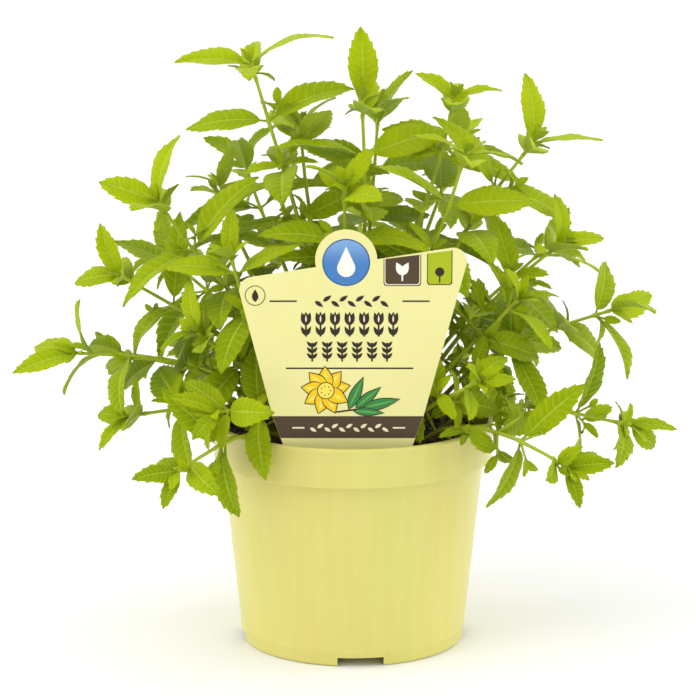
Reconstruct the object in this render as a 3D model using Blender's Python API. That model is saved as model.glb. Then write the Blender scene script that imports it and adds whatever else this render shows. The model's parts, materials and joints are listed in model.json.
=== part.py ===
"""Lemon verbena in a round nursery pot with a card label, at real size in metres, +Z up.

The pot stands on z = 0. The plant is a crown of leafy stems. Each stem is a cubic curve from its root
in the soil to its tip, with pairs of toothed leaves, all fused into one body.
"""

import math
import random
from collections import namedtuple

import bpy
from mathutils import Matrix, Vector
from mathutils.bvhtree import BVHTree

# Pot, in metres
POT_HEIGHT = 0.1043
RIM_RADIUS = 0.065
RIM_LIP = 0.0020
COLLAR_BOTTOM = 0.0860
COLLAR_RADIUS = 0.0640
BODY_TOP_RADIUS = 0.0604
BASE_RADIUS = 0.0511
BASE_ROUND = 0.0035
COLLAR_WALL = 0.0018
STEP_HEIGHT = 0.0012
LEDGE_HEIGHT = 0.0010
LEDGE_SLOPE = 0.0020
RIM_ROUND = 0.0006
WALL = 0.0014
FLOOR_HEIGHT = 0.0046
FLOOR_THICKNESS = 0.0016
FOOT_WIDTH = 0.0030
NOTCH_WIDTH = 0.0210
NOTCH_COUNT = 4
NOTCH_TURN = math.radians(-86)
DRAIN_RADIUS = 0.0045
DRAIN_CIRCLE = 0.0300
DRAIN_COUNT = 6
NOTCH_DEPTH = 0.0120
NOTCH_HEIGHT = 0.0043
DRAIN_SIDES = 10
DRAIN_CUT = 0.0100
BASE_STEPS = 2
POT_STEPS = 36

# Clearance between pieces that touch
GAP = 0.0003

# Soil
SOIL_TOP = 0.0975
SOIL_BUMP = 0.0012
SOIL_RINGS = (0.0, 0.016, 0.034, 0.050)
HOLE_DEPTH = 0.0120
HOLE_CUT = 0.0190
HOLE_SIDES = 5
SLOT_ABOVE = 0.0100

# Label: a card with a round lobe on top and a pointed stake
LABEL_Y = -0.0525
LABEL_THICKNESS = 0.0008
LABEL_FOOT_Z = 0.1005
LABEL_TOP_LEFT = (-0.0500, 0.1795)
LABEL_TOP_RIGHT = (0.0500, 0.1925)
LABEL_FOOT_X = -0.0022
LABEL_FOOT_HALF = 0.0277
LABEL_WAIST_HALF = 0.0335
LABEL_WAIST_Z = 0.1168
LABEL_LOBE_CENTRE = (-0.0030, 0.1870)
LABEL_LOBE_RADIUS = 0.0136
LABEL_CORNER = 0.0060
STAKE_HALF = 0.0060
STAKE_POINT_HALF = 0.0021
STAKE_POINT_HEIGHT = 0.0100
STAKE_BOTTOM = 0.0620

# Growth
SEED = 21
STEM_SIDES = 4
STEM_BASE_RADIUS = 0.0013
STEM_TIP_RADIUS = 0.0007
START_PULL = 0.38
END_PULL = 0.34
TRUNK_TRIALS = 60
SWING_STEP = 0.07
ARCH_STEP = 0.03
ROOT_REACH = 0.004
ROOT_SHARE = 0.10
ROOT_SPREAD = 0.022
TALLEST_TIP = 0.250
LOWEST_TIP = 0.100
LABEL_SIDE = -0.020
LABEL_REACH = 0.010
NODE_SPACING = 0.0240
TOP_PAIR = 0.0010
FIRST_STEP = 0.27
SECOND_STEP = 0.80
SECOND_LEAF = 0.88
LOWER_LEAF = 1.16
LOWER_FADE = 0.05
PAIR_RISE = 34
RISE_FADE = 6
RISE_SPREAD = 7
LENGTH_SPREAD = (0.88, 1.08)
BIG_LEAF = 0.0420
LONG_LEAF = 0.0420
MIDDLE_LEAF = 0.0300
LEAF_ASPECT = 0.36
WIDEST_AT = 0.82
BLADE_FULLNESS = 0.80
BLADE_THICKNESS = 0.0012
PETIOLE_SHARE = 0.10
PETIOLE_HALF = 0.0006
FIRST_SWELL = 0.21
FIRST_TOOTH = 0.32
LAST_TOOTH = 0.96
NOTCH_STEP = 0.035
NOTCH_SHARE = 0.17
CROWD_CLEARANCE = 0.0005
FOOT_RADIUS = 0.0024
LEAN_OUT = 0.7
LEAN_TURN = 0.010
ROLL_RANGE = 1.1
LEAST_BEND = 0.25
BEND_RANGE = 0.85
LEAST_FOLD = 4
FOLD_RANGE = 16
SWAY_RANGE = 0.22
STEM_CLEARANCE = 0.0040
SHORTER_BY = 0.025

# What a leaf tries in turn until it is free: its turn about the stem and its lift, in degrees
TRIALS = (
    (0, 0),
    (14, 0),
    (-14, 0),
    (28, 6),
    (-28, 6),
    (42, -8),
    (-42, -8),
    (0, 16),
    (20, -14),
    (-20, -14),
    (34, 18),
    (-34, 18),
)

# A stem: its tip in metres from the pot's axis, the elevations in degrees at which it leaves the soil
# and ends, the turn of its last leaf pair, the share of its length that is bare, its leaf size, the
# length of its last pair as a share of a big leaf, and the degrees by which that pair rises
Guide = namedtuple("Guide", "name tip rise finish roll bare size crown spread")
GUIDES = (
    Guide("tall_left", (-0.046, 0.005, 0.267), 88, 74, 0, 0.42, 1.0, 0.92, 34),
    Guide("tall_middle", (0.004, 0.000, 0.2505), 89, 86, 10, 0.45, 0.95, 0.85, 78),
    Guide("tall_right", (0.046, 0.010, 0.250), 88, 80, 0, 0.45, 0.9, 0.65, 40),
    Guide("right_high", (0.082, 0.005, 0.231), 84, 52, 0, 0.42, 1.0, 0.75, 55),
    Guide("right_front_high", (0.050, -0.024, 0.230), 86, 76, 10, 0.45, 0.95, 0.7, 35),
    Guide("left_high", (-0.088, -0.005, 0.205), 80, 60, 0, 0.42, 1.0, 0.75, 62),
    Guide("left_back_small", (-0.061, 0.035, 0.206), 84, 80, 30, 0.5, 0.75, 0.6, 60),
    Guide("left_arch", (-0.106, 0.000, 0.170), 70, 30, 0, 0.42, 0.95, 0.65, 62),
    Guide("left_front_upright", (-0.054, -0.034, 0.184), 80, 80, 75, 0.42, 0.95, 0.6, 60),
    Guide("right_arch", (0.094, -0.005, 0.186), 70, 40, 0, 0.42, 0.95, 0.6, 60),
    Guide("right_far", (0.117, -0.010, 0.156), 62, 18, 60, 0.42, 1.0, 0.8, 50),
    Guide("left_far", (-0.126, 0.000, 0.134), 58, 2, 72, 0.46, 0.9, 0.85, 58),
    Guide("right_low", (0.126, -0.025, 0.106), 48, -8, 10, 0.44, 0.85, 0.65, 62),
    Guide("left_low_front", (-0.077, -0.072, 0.096), 40, -20, 0, 0.5, 0.85, 0.6, 60),
    Guide("left_low", (-0.102, -0.020, 0.109), 48, -6, 30, 0.46, 0.9, 0.6, 60),
    Guide("middle_left_high", (-0.024, 0.016, 0.236), 88, 86, 30, 0.45, 0.9, 0.6, 60),
    Guide("middle_front", (-0.004, -0.028, 0.216), 88, 84, 20, 0.5, 0.95, 0.6, 60),
    Guide("right_low_front", (0.094, -0.076, 0.099), 42, -20, 0, 0.5, 0.85, 0.6, 60),
    Guide("right_mid", (0.074, -0.026, 0.164), 66, 48, 40, 0.42, 0.9, 0.6, 60),
    Guide("left_mid", (-0.070, -0.030, 0.150), 66, 40, 20, 0.42, 0.95, 0.6, 60),
    Guide("right_front_low", (0.055, -0.060, 0.134), 54, 30, 20, 0.4, 0.8, 0.6, 60),
    Guide("left_front_low", (-0.060, -0.062, 0.121), 50, 8, 30, 0.42, 0.85, 0.6, 60),
    Guide("back_tall", (0.012, 0.048, 0.240), 86, 76, 20, 0.45, 0.95, 0.6, 60),
    Guide("back_left_high", (-0.052, 0.066, 0.214), 80, 62, 10, 0.44, 1.0, 0.6, 60),
    Guide("back_right_high", (0.050, 0.068, 0.222), 80, 62, 70, 0.44, 1.0, 0.6, 60),
    Guide("back_left_arch", (-0.088, 0.070, 0.166), 68, 32, 0, 0.42, 1.0, 0.6, 60),
    Guide("back_right_arch", (0.092, 0.062, 0.172), 68, 34, 20, 0.42, 1.0, 0.6, 60),
    Guide("back_middle_arch", (0.004, 0.096, 0.182), 68, 34, 0, 0.42, 1.0, 0.6, 60),
    Guide("back_left_low", (-0.070, 0.084, 0.122), 52, 2, 30, 0.44, 0.9, 0.6, 60),
    Guide("back_right_low", (0.080, 0.082, 0.124), 52, 2, 0, 0.44, 0.9, 0.6, 60),
    Guide("back_low", (0.010, 0.104, 0.122), 50, -6, 40, 0.46, 0.9, 0.6, 60),
    Guide("left_back_low", (-0.114, 0.050, 0.124), 54, 4, 60, 0.44, 0.9, 0.6, 60),
)

Leaf = namedtuple("Leaf", "root along normal length half bend fold sway teeth")
Stem = namedtuple("Stem", "name path radii leaves")

UP = Vector((0, 0, 1))


def clear_scene():
    for obj in list(bpy.data.objects):
        bpy.data.objects.remove(obj, do_unlink=True)


def make_material(name, colour, roughness):
    material = bpy.data.materials.new(name)
    material.use_nodes = True
    shader = material.node_tree.nodes["Principled BSDF"]
    shader.inputs["Base Color"].default_value = (*colour, 1)
    shader.inputs["Roughness"].default_value = roughness
    material.diffuse_color = (*colour, 1)
    return material


def new_object(name, points, faces, material=None):
    mesh = bpy.data.meshes.new(name)
    mesh.from_pydata([tuple(point) for point in points], [], faces)
    mesh.update()
    obj = bpy.data.objects.new(name, mesh)
    bpy.context.scene.collection.objects.link(obj)
    if material:
        mesh.materials.append(material)
    return obj


def smooth(obj, angle=math.radians(35)):
    obj.data.shade_smooth()
    obj.data.set_sharp_from_angle(angle=angle)


# Turned shapes


def turned(profile, steps):
    """Points and faces of a closed profile of (radius, height) pairs, turned about the Z axis.

    A profile whose ends lie on the axis is closed there by one point each.
    """
    on_axis = profile[0][0] == 0
    ring_profile = profile[1:-1] if on_axis else profile
    points = []
    for radius, height in ring_profile:
        for k in range(steps):
            angle = 2 * math.pi * k / steps
            points.append((radius * math.cos(angle), radius * math.sin(angle), height))
    faces = []
    rings = len(ring_profile)
    for ring in range(rings - 1 if on_axis else rings):
        for k in range(steps):
            low = ring * steps
            high = (ring + 1) % rings * steps
            after = (k + 1) % steps
            faces.append((low + k, low + after, high + after, high + k))
    if on_axis:
        first = len(points)
        points += [(0, 0, profile[0][1]), (0, 0, profile[-1][1])]
        last_ring = (rings - 1) * steps
        for k in range(steps):
            after = (k + 1) % steps
            faces.append((first, after, k))
            faces.append((first + 1, last_ring + k, last_ring + after))
    return points, faces


def body_radius(height):
    """Outer radius of the tapered body under the collar."""
    return BASE_RADIUS + (BODY_TOP_RADIUS - BASE_RADIUS) * height / COLLAR_BOTTOM


def inside_wall():
    """The inside of the pot's section from the collar down to the floor, as (radius, height) pairs."""
    collar_in = COLLAR_RADIUS - COLLAR_WALL
    body_in = body_radius(COLLAR_BOTTOM) - WALL
    floor_in = body_radius(FLOOR_HEIGHT) - WALL
    ledge = COLLAR_BOTTOM + LEDGE_HEIGHT
    return [
        (collar_in, ledge + LEDGE_SLOPE),
        (body_in, ledge),
        (floor_in, FLOOR_HEIGHT + FLOOR_THICKNESS),
    ]


def pot_profile():
    """The pot's section from the foot's inner edge, round the outside, to the floor inside."""
    points = [(BASE_RADIUS - FOOT_WIDTH, 0.0)]
    for k in range(BASE_STEPS + 1):
        turn = math.pi / 2 * k / BASE_STEPS
        radius = body_radius(BASE_ROUND) - BASE_ROUND * 0.5 * (1 - math.sin(turn))
        points.append((radius, BASE_ROUND * (1 - math.cos(turn))))
    points += [
        (body_radius(COLLAR_BOTTOM), COLLAR_BOTTOM),
        (COLLAR_RADIUS, COLLAR_BOTTOM + STEP_HEIGHT),
        (RIM_RADIUS, POT_HEIGHT - RIM_ROUND),
        (RIM_RADIUS - RIM_ROUND, POT_HEIGHT),
        (RIM_RADIUS - RIM_LIP, POT_HEIGHT),
        (COLLAR_RADIUS - WALL, POT_HEIGHT - STEP_HEIGHT),
    ]
    return points + inside_wall()


def floor_profile():
    """The closed floor of the pot joins the section at its foot and at its inside corner."""
    section = pot_profile()
    return [(0, FLOOR_HEIGHT), (BASE_RADIUS - FOOT_WIDTH, FLOOR_HEIGHT)] + section + [
        (0, FLOOR_HEIGHT + FLOOR_THICKNESS)
    ]


def soil_profile():
    """The plug of soil follows the pot's inside at a small gap, up to a flat top."""
    wall = [(radius - GAP, height + GAP) for radius, height in reversed(inside_wall())]
    top = [(radius, SOIL_TOP) for radius in (wall[-1][0], *reversed(SOIL_RINGS))]
    return [(0, wall[0][1])] + wall + top


def add_box(name, size, location, turn=0.0):
    bpy.ops.mesh.primitive_cube_add(size=1)
    box = bpy.context.object
    box.name = name
    box.scale = size
    box.location = location
    box.rotation_euler = (0, 0, turn)
    return box


def boolean(target, operation, cutters):
    """Applies one Boolean with a collection of cutters, then removes the cutters."""
    group = bpy.data.collections.new("cutters")
    bpy.context.scene.collection.children.link(group)
    for cutter in cutters:
        for holder in list(cutter.users_collection):
            holder.objects.unlink(cutter)
        group.objects.link(cutter)
        cutter.hide_render = True
        cutter.display_type = "WIRE"
    modifier = target.modifiers.new(operation.lower(), "BOOLEAN")
    modifier.operation = operation
    modifier.operand_type = "COLLECTION"
    modifier.collection = group
    modifier.solver = "EXACT"
    bpy.context.view_layer.update()
    graph = bpy.context.evaluated_depsgraph_get()
    result = bpy.data.meshes.new_from_object(target.evaluated_get(graph))
    target.modifiers.clear()
    target.data = result
    for cutter in list(group.objects):
        bpy.data.objects.remove(cutter, do_unlink=True)
    bpy.data.collections.remove(group)


def build_pot():
    points, faces = turned(floor_profile(), POT_STEPS)
    pot = new_object("pot", points, faces, make_material("pot_plastic", (0.78, 0.70, 0.22), 0.38))
    cutters = []
    for k in range(NOTCH_COUNT):
        turn = NOTCH_TURN + 2 * math.pi * k / NOTCH_COUNT
        place = (BASE_RADIUS * math.cos(turn), BASE_RADIUS * math.sin(turn), 0)
        cutters.append(add_box("notch", (NOTCH_DEPTH, NOTCH_WIDTH, 2 * NOTCH_HEIGHT), place, turn))
    for k in range(DRAIN_COUNT):
        turn = 2 * math.pi * (k + 0.5) / DRAIN_COUNT
        place = (DRAIN_CIRCLE * math.cos(turn), DRAIN_CIRCLE * math.sin(turn), FLOOR_HEIGHT)
        bpy.ops.mesh.primitive_cylinder_add(
            vertices=DRAIN_SIDES, radius=DRAIN_RADIUS, depth=DRAIN_CUT, location=place
        )
        cutters.append(bpy.context.object)
    boolean(pot, "DIFFERENCE", cutters)
    smooth(pot)
    return pot


def build_soil(stems):
    """The filling of the pot: a turned plug with a lumpy top, plain holes for stems and a slot."""
    rng = random.Random(SEED + 1)
    points, faces = turned(soil_profile(), POT_STEPS)
    flat = SOIL_RINGS[-1] + GAP
    lumpy = []
    for x, y, z in points:
        if z == SOIL_TOP and math.hypot(x, y) < flat:
            z += rng.uniform(-SOIL_BUMP, SOIL_BUMP)
        lumpy.append((x, y, z))
    soil = new_object("soil", lumpy, faces, make_material("peat_soil", (0.05, 0.03, 0.018), 0.95))
    cutters = []
    for number, stem in enumerate(stems):
        foot = stem.path[0]
        away = (stem.path[1] - foot).normalized()
        path = [foot - away * GAP, foot + away * HOLE_CUT]
        radius = (STEM_BASE_RADIUS + GAP) / math.cos(math.pi / HOLE_SIDES)
        cutters.append(new_object(f"hole_{number}", *tube(path, [radius, radius], HOLE_SIDES)))
    half = STAKE_HALF + GAP
    height = SOIL_TOP - STAKE_BOTTOM + SLOT_ABOVE
    place = (0, LABEL_Y, STAKE_BOTTOM - GAP + height / 2)
    cutters.append(add_box("slot", (2 * half, LABEL_THICKNESS + 2 * GAP, height), place))
    boolean(soil, "DIFFERENCE", cutters)
    return soil


# Label


def arc(centre, radius, start, end, steps):
    """Points along an arc, with its angles in degrees."""
    points = []
    for k in range(steps + 1):
        angle = math.radians(start + (end - start) * k / steps)
        points.append((centre[0] + radius * math.cos(angle), centre[1] + radius * math.sin(angle)))
    return points


def label_outline(corner_steps=3, lobe_steps=14):
    """The card seen from the front, as (x, z) points, from the stake's foot round to the left."""
    left_x, left_z = LABEL_TOP_LEFT
    right_x, right_z = LABEL_TOP_RIGHT
    slope = math.degrees(math.atan2(right_z - left_z, right_x - left_x))
    lobe_x, lobe_z = LABEL_LOBE_CENTRE
    top_middle = (left_z + right_z) / 2 + math.tan(math.radians(slope)) * lobe_x
    drop = math.degrees(math.asin((top_middle - lobe_z) / LABEL_LOBE_RADIUS))
    middle = LABEL_FOOT_X
    outline = [(-STAKE_POINT_HALF, STAKE_BOTTOM), (STAKE_POINT_HALF, STAKE_BOTTOM)]
    outline += [(STAKE_HALF, STAKE_BOTTOM + STAKE_POINT_HEIGHT), (STAKE_HALF, LABEL_FOOT_Z)]
    outline += [(middle + LABEL_FOOT_HALF, LABEL_FOOT_Z), (middle + LABEL_WAIST_HALF, LABEL_WAIST_Z)]
    corner = (right_x - LABEL_CORNER, right_z - LABEL_CORNER)
    outline += arc(corner, LABEL_CORNER, -10, 90 + slope, corner_steps)
    outline += arc(LABEL_LOBE_CENTRE, LABEL_LOBE_RADIUS, drop + slope, 180 - drop + slope, lobe_steps)
    corner = (left_x + LABEL_CORNER, left_z - LABEL_CORNER)
    outline += arc(corner, LABEL_CORNER, 90 + slope, 190, corner_steps)
    outline += [(middle - LABEL_WAIST_HALF, LABEL_WAIST_Z), (middle - LABEL_FOOT_HALF, LABEL_FOOT_Z)]
    outline += [(-STAKE_HALF, LABEL_FOOT_Z), (-STAKE_HALF, STAKE_BOTTOM + STAKE_POINT_HEIGHT)]
    return outline


def label_solid():
    outline = label_outline()
    count = len(outline)
    front = LABEL_Y - LABEL_THICKNESS / 2
    back = LABEL_Y + LABEL_THICKNESS / 2
    points = [(x, front, z) for x, z in outline] + [(x, back, z) for x, z in outline]
    faces = [tuple(range(count)), tuple(range(2 * count - 1, count - 1, -1))]
    for k in range(count):
        after = (k + 1) % count
        faces.append((k, k + count, after + count, after))
    return points, faces


def build_label():
    points, faces = label_solid()
    return new_object("label", points, faces, make_material("label_card", (0.87, 0.82, 0.36), 0.5))


# Plant shapes


def tube(path, radii, sides):
    """Points and faces of a closed tube along a path of vectors."""
    points = []
    faces = []
    side = (path[1] - path[0]).orthogonal().normalized()
    for k, centre in enumerate(path):
        ahead = path[min(k + 1, len(path) - 1)] - path[max(k - 1, 0)]
        ahead = ahead.normalized()
        side = (side - ahead * side.dot(ahead)).normalized()
        other = ahead.cross(side)
        for j in range(sides):
            turn = 2 * math.pi * j / sides
            points.append(centre + (side * math.cos(turn) + other * math.sin(turn)) * radii[k])
    for k in range(len(path) - 1):
        for j in range(sides):
            after = (j + 1) % sides
            low = k * sides
            faces.append((low + j, low + after, low + sides + after, low + sides + j))
    faces.append(tuple(range(sides - 1, -1, -1)))
    last = (len(path) - 1) * sides
    faces.append(tuple(range(last, last + sides)))
    return points, faces


def blade_half_width(leaf, u):
    """Half the width of the blade without its teeth, u from the stem, 0, to the tip, 1."""
    if u <= PETIOLE_SHARE:
        return PETIOLE_HALF
    t = (u - PETIOLE_SHARE) / (1 - PETIOLE_SHARE)
    swell = math.sin(math.pi * min(t, 1.0) ** WIDEST_AT)
    return PETIOLE_HALF * (1 - t) + leaf.half * max(swell, 0.0) ** BLADE_FULLNESS


def blade_point(leaf, u, v, lift=0.0):
    """A point of the blade: u along it, v across it in metres, lift off it in metres."""
    turned_by = leaf.bend * u
    if abs(leaf.bend) < 1e-4:
        ahead = leaf.length * u
        sunk = 0.0
    else:
        ahead = leaf.length * math.sin(turned_by) / leaf.bend
        sunk = leaf.length * (1 - math.cos(turned_by)) / leaf.bend
    side = leaf.normal.cross(leaf.along)
    up_here = leaf.normal * math.cos(turned_by) + leaf.along * math.sin(turned_by)
    raised = lift + abs(v) * math.sin(leaf.fold)
    across = v * math.cos(leaf.fold) + leaf.sway * leaf.length * u * u
    return leaf.root + leaf.along * ahead - leaf.normal * sunk + up_here * raised + side * across


def toothed_edge(leaf):
    """(u, half width) along one edge of the blade, with a notch behind each tooth."""
    edge = [(0.0, PETIOLE_HALF), (FIRST_SWELL, blade_half_width(leaf, FIRST_SWELL))]
    for k in range(leaf.teeth):
        u = FIRST_TOOTH + (LAST_TOOTH - FIRST_TOOTH) * (k + 0.5) / leaf.teeth
        behind = u + NOTCH_STEP
        edge.append((u, blade_half_width(leaf, u)))
        edge.append((behind, blade_half_width(leaf, behind) * (1 - NOTCH_SHARE)))
    return edge


def leaf_solid(leaf, extra=0.0):
    """A blade, thick at the midrib and sharp at its toothed edges. extra grows it on all sides."""
    edge = toothed_edge(leaf)
    rib = [0.0, 0.34, 0.68] if leaf.teeth > 1 else [0.0, 0.45]
    half_thick = BLADE_THICKNESS / 2 * (1.0 if leaf.teeth > 1 else 0.8) + extra
    points = []
    for lift in (half_thick, -half_thick):
        points += [blade_point(leaf, u, 0.0, lift * (1 - 0.4 * u)) for u in rib]
    points[len(rib)] = blade_point(leaf, 0.5 * rib[1], 0.0, -half_thick)
    for u, half in edge:
        points.append(blade_point(leaf, u, half + extra))
    for u, half in edge:
        points.append(blade_point(leaf, u, -half - extra))
    tip = len(points)
    points.append(blade_point(leaf, 1.0 + extra / leaf.length, 0.0))
    ribs = len(rib)
    edges = len(edge)
    top = list(range(ribs))
    bottom = list(range(ribs, 2 * ribs))
    left = list(range(2 * ribs, 2 * ribs + edges))
    right = list(range(2 * ribs + edges, 2 * ribs + 2 * edges))
    edge_us = [u for u, half in edge]
    faces = []
    for place, kind in strip(rib, edge_us):
        faces.append(face_of(top, left, place, kind, tip))
        faces.append(face_of(bottom, left, place, kind, tip)[::-1])
        faces.append(face_of(top, right, place, kind, tip)[::-1])
        faces.append(face_of(bottom, right, place, kind, tip))
    faces.append((top[0], left[0], right[0]))
    faces.append((left[0], bottom[0], right[0]))
    return points, faces


def strip(rib, edge):
    """The triangles between two rows of u values: the rows' indices and the row that moves on."""
    steps = []
    i = 0
    j = 0
    while i < len(rib) or j < len(edge):
        next_rib = rib[i + 1] if i + 1 < len(rib) else 1.0
        next_edge = edge[j + 1] if j + 1 < len(edge) else 1.0
        if i == len(rib) - 1 and j == len(edge) - 1:
            steps.append(((i, j), "tip"))
            break
        if next_rib <= next_edge and i + 1 < len(rib) or j + 1 >= len(edge):
            steps.append(((i, j), "rib"))
            i += 1
        else:
            steps.append(((i, j), "edge"))
            j += 1
    return steps


def face_of(rib, edge, place, kind, tip):
    """One triangle between the vertices of the rib and those of an edge."""
    i, j = place
    if kind == "rib":
        return (rib[i], rib[i + 1], edge[j])
    if kind == "edge":
        return (rib[i], edge[j + 1], edge[j])
    return (rib[i], tip, edge[j])


# Growth


def direction(azimuth, elevation):
    flat = math.cos(elevation)
    return Vector((flat * math.cos(azimuth), flat * math.sin(azimuth), math.sin(elevation)))


def turned_about(vector, axis, angle):
    return Matrix.Rotation(angle, 3, axis) @ vector


def cubic(start, one, two, end, t):
    s = 1 - t
    return start * s**3 + one * (3 * s * s * t) + two * (3 * s * t * t) + end * t**3


def box_of(points):
    low = Vector([min(point[axis] for point in points) for axis in range(3)])
    high = Vector([max(point[axis] for point in points) for axis in range(3)])
    return low, high


class Crowd:
    """The solids that are already placed, each with its box, for finding what a new one would cross."""

    def __init__(self):
        self.items = []

    def add(self, owner, points, faces):
        low, high = box_of(points)
        self.items.append((owner, BVHTree.FromPolygons(points, faces), low, high))

    def crosses(self, owner, points, faces, own_too=False):
        low, high = box_of(points)
        tree = None
        for other, other_tree, other_low, other_high in self.items:
            if other == owner and not own_too:
                continue
            if any(low[k] > other_high[k] or high[k] < other_low[k] for k in range(3)):
                continue
            tree = tree or BVHTree.FromPolygons(points, faces)
            if tree.overlap(other_tree):
                return True
        return False


def root_place(guide, shift):
    """Where a stem leaves the soil: towards its tip, and further out the lower it leans."""
    azimuth = math.atan2(guide.tip[1], guide.tip[0])
    reach = math.hypot(guide.tip[0], guide.tip[1])
    low = max(0.0, (TALLEST_TIP - guide.tip[2]) / (TALLEST_TIP - LOWEST_TIP))
    out = ROOT_REACH + ROOT_SHARE * reach + ROOT_SPREAD * low
    if guide.tip[1] < LABEL_SIDE and abs(guide.tip[0]) < abs(LABEL_SIDE):
        out = min(out, LABEL_REACH)
    return Vector((out * math.cos(azimuth + shift), out * math.sin(azimuth + shift), SOIL_TOP))


def stem_path(guide, shift, arch, steps=6):
    """The stem's centre line, from the bottom of its hole in the soil to its tip."""
    tip = Vector(guide.tip)
    root = root_place(guide, shift)
    span = (tip - root).length
    azimuth = math.atan2(tip.y - root.y, tip.x - root.x)
    away = direction(azimuth, math.radians(guide.rise))
    finish = direction(azimuth, math.radians(guide.finish))
    one = root + away * span * (START_PULL + arch)
    two = tip - finish * span * (END_PULL + arch)
    path = [root - away * HOLE_DEPTH]
    for k in range(steps + 1):
        path.append(cubic(root, one, two, tip, k / steps))
    return path


def tapered(path):
    last = len(path) - 1
    return [STEM_BASE_RADIUS + (STEM_TIP_RADIUS - STEM_BASE_RADIUS) * k / last for k in range(last + 1)]


def along(path, distance_from_tip):
    """The point and direction of a path at a distance from its tip."""
    left = distance_from_tip
    for k in range(len(path) - 1, 1, -1):
        piece = path[k] - path[k - 1]
        if left <= piece.length:
            return path[k] - piece.normalized() * left, piece.normalized()
        left -= piece.length
    return None, None


def side_of(stem_way, roll):
    """The direction of the first leaf of a pair, turned by roll from the plane of the XZ axes."""
    side = Vector((0, 1, 0)).cross(stem_way)
    if side.length < 0.2:
        side = Vector((1, 0, 0))
    side = turned_about(side.normalized(), stem_way, roll)
    side.z *= 0.30 + 0.70 * abs(stem_way.z)
    side = side - stem_way * side.dot(stem_way)
    return side.normalized()


def make_leaf(root, side, stem_way, opening, length, draws):
    """A leaf that leaves the stem at an angle, with its upper face towards the tip and the light."""
    way = (side * math.cos(opening) + stem_way * math.sin(opening)).normalized()
    outward = Vector((0, math.copysign(LEAN_OUT, root.y - LEAN_TURN), 0))
    face = stem_way + UP * 0.8 + outward
    face = face - way * face.dot(way)
    if face.length < 0.15:
        face = UP.cross(way).cross(way) * -1
    face = turned_about(face.normalized(), way, (draws[0] - 0.5) * ROLL_RANGE)
    bend = LEAST_BEND + BEND_RANGE * draws[1]
    half = length * LEAF_ASPECT / 2 * (0.9 + 0.3 * draws[2])
    fold = math.radians(LEAST_FOLD + FOLD_RANGE * draws[3])
    sway = (draws[4] - 0.5) * SWAY_RANGE
    teeth = 3 if length > LONG_LEAF else 2 if length > MIDDLE_LEAF else 1
    return Leaf(root, way, face, length, half, bend, fold, sway, teeth)


def place_leaf(crowd, owner, leaves, node, opening, length, draws):
    """Adds a leaf where it clears its neighbours, and leaves it out if no small change frees it."""
    root, stem_way, side = node
    for trial, (turn, lift) in enumerate(TRIALS):
        way = turned_about(side, stem_way, math.radians(turn))
        shorter = length * (1.0 - SHORTER_BY * trial)
        leaf = make_leaf(root, way, stem_way, opening + math.radians(lift), shorter, draws)
        if crowd.crosses(owner, *leaf_solid(leaf, CROWD_CLEARANCE)):
            continue
        free = leaf._replace(root=leaf.root + leaf.along * STEM_CLEARANCE, length=leaf.length * 0.94)
        last = trial == len(TRIALS) - 1
        if not last and crowd.crosses(owner, *leaf_solid(free, CROWD_CLEARANCE), own_too=True):
            continue
        crowd.add(owner, *leaf_solid(leaf))
        leaves.append(leaf)
        return


def footed(path, clearance):
    """The radii of a stem grown by a clearance, with a wide foot that keeps the holes apart."""
    radii = [radius + clearance for radius in tapered(path)]
    return [FOOT_RADIUS, FOOT_RADIUS] + radii[2:]


def grow_trunk(crowd, guide):
    """A bare stem, swung sideways and arched more until it clears the stems before it."""
    for trial in range(TRUNK_TRIALS):
        swing = SWING_STEP * ((trial + 1) // 2) * (1 if trial % 2 else -1)
        path = stem_path(guide, swing, ARCH_STEP * (trial % 4))
        if not crowd.crosses(guide.name, *tube(path, footed(path, CROWD_CLEARANCE), STEM_SIDES)):
            break
    crowd.add(guide.name, *tube(path, footed(path, 0.0), STEM_SIDES))
    return Stem(guide.name, path, tapered(path), [])


def leaf_nodes(guide, path):
    """Where leaf pairs stand on a stem, from its tip down, each a quarter turn from the last.

    A node is its point, the stem's direction there, the side of its first leaf, and the length and
    opening angle of its leaves.
    """
    total = sum((path[k + 1] - path[k]).length for k in range(1, len(path) - 1))
    nodes = []
    back = TOP_PAIR
    while back < total * (1 - guide.bare):
        pair = len(nodes)
        point, way = along(path, back)
        side = side_of(way, math.radians(guide.roll) + pair * math.pi / 2)
        if pair == 0:
            length, opening = guide.crown * BIG_LEAF, guide.spread
        elif pair == 1:
            length, opening = SECOND_LEAF * BIG_LEAF, PAIR_RISE
        else:
            length, opening = BIG_LEAF * (LOWER_LEAF - LOWER_FADE * pair), PAIR_RISE - RISE_FADE * pair
        nodes.append((point, way, side, length * guide.size, math.radians(opening)))
        step = FIRST_STEP if pair == 0 else SECOND_STEP if pair == 1 else 1.0
        back += NODE_SPACING * step * (1 + 0.05 * math.sin(5 * pair + 9 * guide.size + guide.roll))
    return nodes


def grow_leaves(crowd, guide, stem, rng):
    """The leaf pairs of one stem."""
    for point, way, side, length, opening in leaf_nodes(guide, stem.path):
        for sign in (1, -1):
            draws = [rng.random() for _ in range(5)]
            lifted = opening + math.radians(rng.uniform(-RISE_SPREAD, RISE_SPREAD))
            grown = length * rng.uniform(*LENGTH_SPREAD)
            place_leaf(crowd, guide.name, stem.leaves, (point, way, side * sign), lifted, grown, draws)


def grow_plant():
    """All stems, then their leaves, each clear of the pot, the label and one another."""
    crowd = Crowd()
    crowd.add("pot", *turned(floor_profile(), POT_STEPS))
    crowd.add("label", *label_solid())
    stems = [grow_trunk(crowd, guide) for guide in GUIDES]
    for number, (guide, stem) in enumerate(zip(GUIDES, stems)):
        grow_leaves(crowd, guide, stem, random.Random(SEED * 1000 + number))
    return stems


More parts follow.
